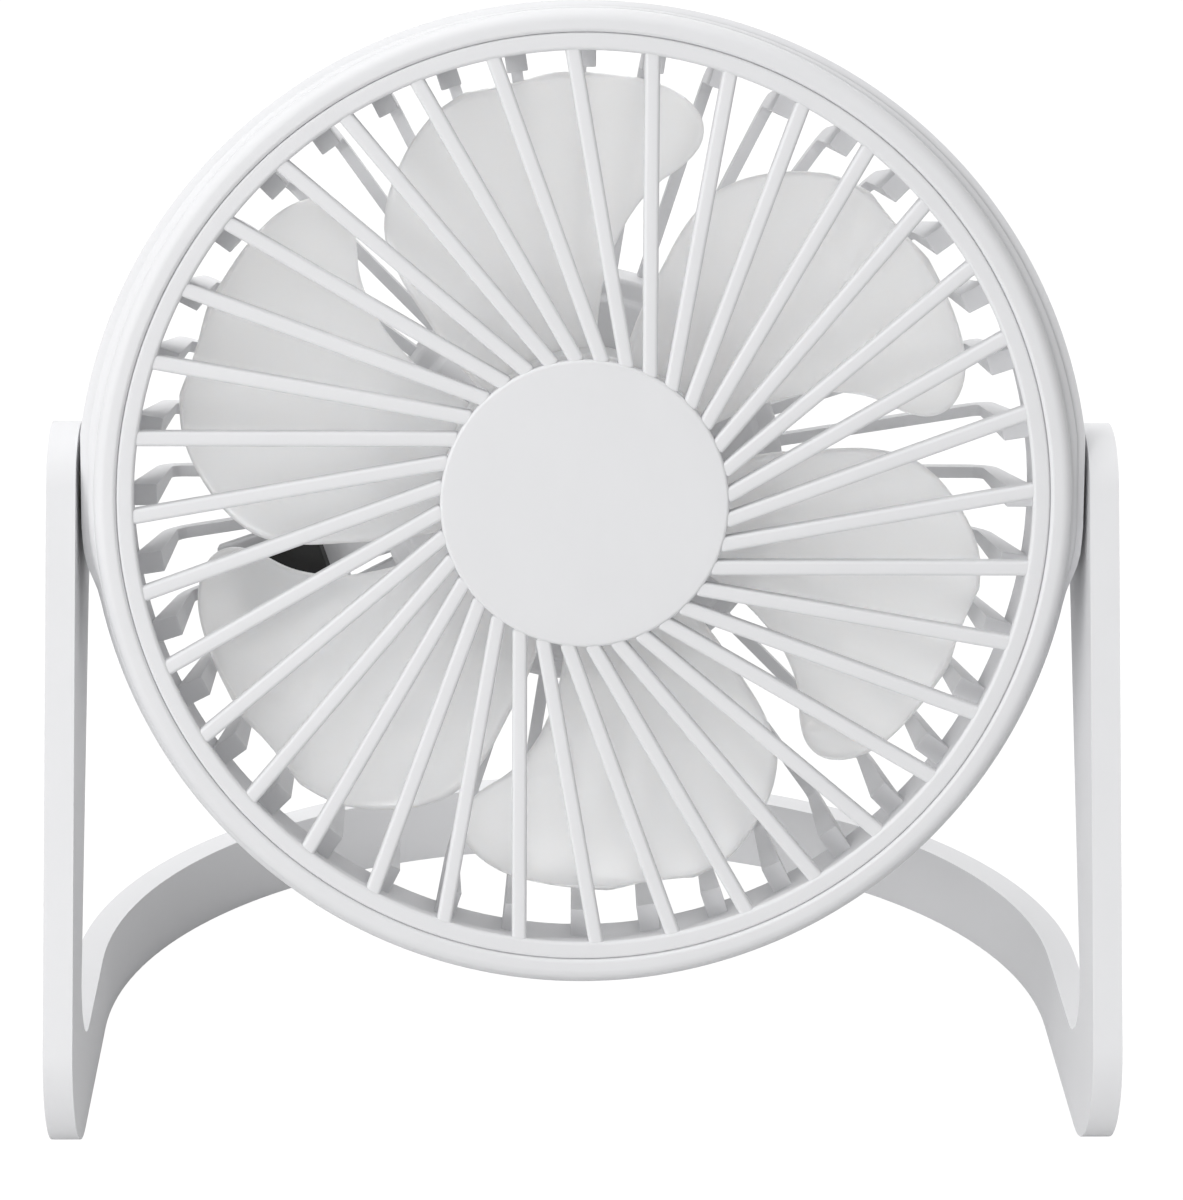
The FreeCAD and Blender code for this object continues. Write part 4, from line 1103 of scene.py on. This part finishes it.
@dataclass
class RearDetails:
    """The motor cup's cover, its screws, the inlet and the power switch."""

    shop: Workshop
    radius: float = 28.7
    front: float = 27.3
    back: float = 29.3
    inlet_height: float = -10.0
    rocker_radius: float = 5.0
    rocker_tip: float = 10.0
    grille: RearGrille = field(init=False)

    def __post_init__(self) -> None:
        """Share the rear grille's sizes."""
        self.grille = RearGrille(self.shop)

    def build(self) -> None:
        """Make the cover, the screws, the inlet and the switch."""
        self.shop.place(self.cover(), Body.HEAD, "shell", ["motor_cover"])
        for index in range(3):
            screw = self.screw(index)
            self.shop.place(screw, Body.HEAD, "screw_steel", [f"cover_screw_{index + 1}"])
        self.shop.place(self.inlet(), Body.HEAD, "plated", ["usb_socket"])
        self.shop.place(self.housing(), Body.HEAD, "black_plastic", ["switch_body"])
        self.shop.place(self.rocker(), Body.ROCKER, "black_rocker", ["switch_rocker"])

    def spots(self) -> list[Vector]:
        """The screws' places across the cover."""
        angles = [math.radians(90 + 120 * index) for index in range(3)]
        return [Vector((math.cos(a), 0, math.sin(a))) * self.grille.screw_circle for a in angles]

    def cover(self) -> Piece:
        """The round plate with a raised edge, vents, screw holes and the inlet's window."""
        cover = lathe("motor_plate", rounded([
            (0, self.front, 0), (self.radius, self.front, 0.2), (self.radius, self.back, 0.5),
            (self.radius - 2.2, self.back, 0.4), (self.radius - 2.6, self.back - 0.3, 0.3),
            (0, self.back - 0.3, 0)], False, 4), False, 120)
        for index in range(5):
            height = 2.5 + 3.4 * index
            vent = oblong(11 - 1.1 * index, height, height + 1.5, 0.7, 4)
            carve(cover, self.through("vent", vent))
        carve(cover, self.through("window", oblong(5, -12.2, -7.8, 1.6, 6)))
        for spot in self.spots():
            hole = [(spot.x + x, spot.z + z) for x, z in arc((0, 0), 1.6, 0, 345, 23)]
            carve(cover, self.through("hole", hole))
        close_up(cover)
        return soften(cover, 0.22, 2, 50)

    def through(self, name: str, outline: Sequence[Point]) -> Piece:
        """A cutter that goes right through the cover."""
        return push(name, outline, Axis.Y, self.front - 2, self.back + 2)

    def screw(self, index: int) -> Piece:
        """A pan-head screw with a cross recess."""
        spot = self.spots()[index]
        profile = rounded([(0, 21.4, 0), (0.7, 21.4, 0), (1.2, 22.4, 0.2), (1.2, self.back, 0),
                           (2.7, self.back, 0.1), (2.65, self.back + 0.9, 0.5),
                           (1.3, self.back + 1.45, 0.8), (0, self.back + 1.5, 0)], False, 4)
        screw = lathe(f"cover_fixing_{index + 1}", profile, False, 48, spot * MM)
        for wide, tall in ((1.5, 0.28), (0.28, 1.5)):
            low = (spot.x - wide, self.back + 0.6, spot.z - tall)
            high = (spot.x + wide, self.back + 3, spot.z + tall)
            carve(screw, block("cross", low, high, 0))
        close_up(screw)
        return soften(screw, 0.06, 2, 50)

    def inlet(self) -> Piece:
        """The oval metal shell of the inlet and its tongue."""
        low, high = self.inlet_height - 1.6, self.inlet_height + 1.6
        shell = push("inlet_shell", oblong(4.5, low, high, 1.55, 10), Axis.Y,
                     self.back - 5.2, self.back - 0.2)
        mouth = push("mouth", oblong(4.15, low + 0.35, high - 0.35, 1.22, 10), Axis.Y,
                     self.back - 4.4, self.back + 2)
        carve(shell, mouth)
        close_up(shell)
        soften(shell, 0.08, 2, 50)
        tongue = block("tongue", (-3.2, self.back - 4.6, self.inlet_height - 0.35),
                       (3.2, self.back - 1.0, self.inlet_height + 0.35), 0.15)
        return join("inlet_shell", [shell, tongue])

    def housing(self) -> Piece:
        """The switch's housing: a box with a flange and a well for the rocker."""
        frame = self.grille
        near, far, half = frame.switch_span()
        box = block("switch_housing", (near, frame.back - 9.5, -half),
                    (far, frame.back + 0.4, half), 0.4)
        flange = block("flange", (near - 1.2, frame.back, -half - 1.2),
                       (far + 1.2, frame.back + 0.9, half + 1.2), 0.4, 3)
        carve(box, flange, "UNION")
        well = block("well", (frame.switch_reach - 5.35, frame.back - 6, -3.4),
                     (frame.switch_reach + 5.35, frame.back + 2, 3.4), 0)
        carve(box, well)
        close_up(box)
        box.data.transform(frame.turned())
        return box

    def rocker(self) -> Piece:
        """The rocker, tipped to its rest, with two round ends and a shallow V on top."""
        frame = self.grille
        radius, tip = self.rocker_radius, math.radians(self.rocker_tip)
        peak = radius * (math.sin(2 * tip) + math.cos(2 * tip) * math.tan(tip))
        outline = arc((0, 0), radius, -16, 20, 6) + [(0, peak)] + arc((0, 0), radius, 160, 196, 6)
        rocker = push("switch_key", outline, Axis.Z, -3.1, 3.1)
        soften(rocker, 0.35, 3, 40)
        mark = push("mark", arc((2.9, 0), 0.85, 0, 345, 23), Axis.Y, 1.0, 6.0)
        carve(rocker, mark)
        rocker.data.transform(Matrix.Rotation(-tip, 4, "Z"))
        spot = Vector((frame.switch_reach, frame.back - 0.6, 0)) * MM
        rocker.data.transform(Matrix.Translation(spot))
        rocker.data.transform(frame.turned())
        return close_up(rocker)


# Studio.


@dataclass
class Studio:
    """Floor, lights and camera."""

    shop: Workshop
    elevation: float = 21.11
    azimuth: float = 1.70
    roll: float = 0.67
    distance: float = 560.0
    aim: tuple[float, float, float] = (1.72, 10.0, -20.12)
    lens: float = 114.5
    floor_size: float = 60.0
    floor_glow: float = 0.9
    floor_strength: float = 1.12
    surround: float = 0.44
    lamps: dict[str, tuple[tuple[float, float, float], float, float]] = field(
        default_factory=lambda: {
            "overhead": ((-0.15, 0.1, 1.3), 1.2, 9.0),
            "key": ((-1.2, -0.9, 0.8), 0.8, 6.5),
            "front": ((-0.8, -1.4, 0.06), 0.9, 15.0),
            "back": ((0.3, 1.3, 0.7), 1.0, 7.0),
        })

    def build(self) -> None:
        """Set up everything that isn't the object."""
        self.floor()
        self.lights()
        self.camera()

    def floor(self) -> None:
        """A wide white sweep that takes only a faint shadow."""
        bpy.ops.mesh.primitive_plane_add(size=self.floor_size, location=(0, 0, -0.05 * MM))
        floor = bpy.context.object
        floor.name = "studio_floor"
        shader = Shader("studio_floor")
        tone = shader.ramp(shader.noise(3.0), 0.3, 0.7)
        colour = shader.blend(tone, (0.60, 0.60, 0.60), (0.62, 0.62, 0.62))
        shader.surface(Base_Color=colour, Roughness=0.95, Specular_IOR_Level=0.1)
        glow = shader.node("ShaderNodeEmission", {}, {
            "Color": (1, 1, 1, 1), "Strength": self.floor_strength})
        seen = shader.number("ShaderNodeLightPath", {}, {}, "Is Camera Ray")
        through = shader.number("ShaderNodeLightPath", {}, {}, "Is Transmission Ray")
        seen = (seen + through) * self.floor_glow
        mix = shader.node("ShaderNodeMixShader", {}, {
            0: seen, 1: shader.principled.outputs[0], 2: glow.outputs[0]})
        shader.feed(shader.nodes["Material Output"].inputs["Surface"], mix.outputs[0])
        floor.data.materials.append(shader.material)

    def lights(self) -> None:
        """A dim white surround, a soft key and front light from the left, one above, one behind."""
        world = bpy.data.worlds.new("studio")
        world.use_nodes = True
        background = world.node_tree.nodes["Background"]
        background.inputs["Color"].default_value = (1, 1, 1, 1)
        background.inputs["Strength"].default_value = self.surround
        bpy.context.scene.world = world
        for name, (place, size, power) in self.lamps.items():
            self.lamp(name, place, size, power)

    def lamp(self, name: str, place: Sequence[float], size: float, power: float) -> None:
        """A square soft light aimed at the middle of the object."""
        lamp = bpy.data.lights.new(name, "AREA")
        lamp.size = size
        lamp.energy = power
        holder = bpy.data.objects.new(name, lamp)
        holder.location = place
        aim = self.shop.pivot - Vector(place)
        holder.rotation_euler = aim.to_track_quat("-Z", "Y").to_euler()
        bpy.context.scene.collection.objects.link(holder)

    def camera(self) -> None:
        """A long lens at the height of a seated user's eye."""
        lift, turn, roll = (math.radians(a) for a in (self.elevation, self.azimuth, self.roll))
        forward = Vector((math.sin(turn) * math.cos(lift), math.cos(turn) * math.cos(lift),
                          -math.sin(lift)))
        level = Vector((math.cos(turn), -math.sin(turn), 0))
        up = level.cross(forward)
        right = level * math.cos(roll) + up * math.sin(roll)
        above = up * math.cos(roll) - level * math.sin(roll)
        target = self.shop.pivot + Vector(self.aim) * MM
        matrix = Matrix((right, above, -forward)).transposed().to_4x4()
        matrix.translation = target - forward * self.distance * MM
        data = bpy.data.cameras.new("camera")
        data.lens = self.lens
        data.clip_start = 0.01
        camera = bpy.data.objects.new("camera", data)
        camera.matrix_world = matrix
        bpy.context.scene.collection.objects.link(camera)
        bpy.context.scene.camera = camera
        bpy.context.scene.view_settings.view_transform = "Standard"


def corners(box: Iterable[Iterable[float]]) -> list[list[float]]:
    """A box as plain lists."""
    return [[float(value) for value in corner] for corner in box]


def main() -> None:
    """Build the fan around its frame."""
    logging.basicConfig(level=logging.INFO, format="%(message)s")
    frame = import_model()
    shop = Workshop(frame)
    shop.dress_frame()
    for assembly in (Stand, Casing, FrontGrille, RearGrille, Impeller, RearDetails, Studio):
        assembly(shop).build()


if __name__ == "__main__":
    main()
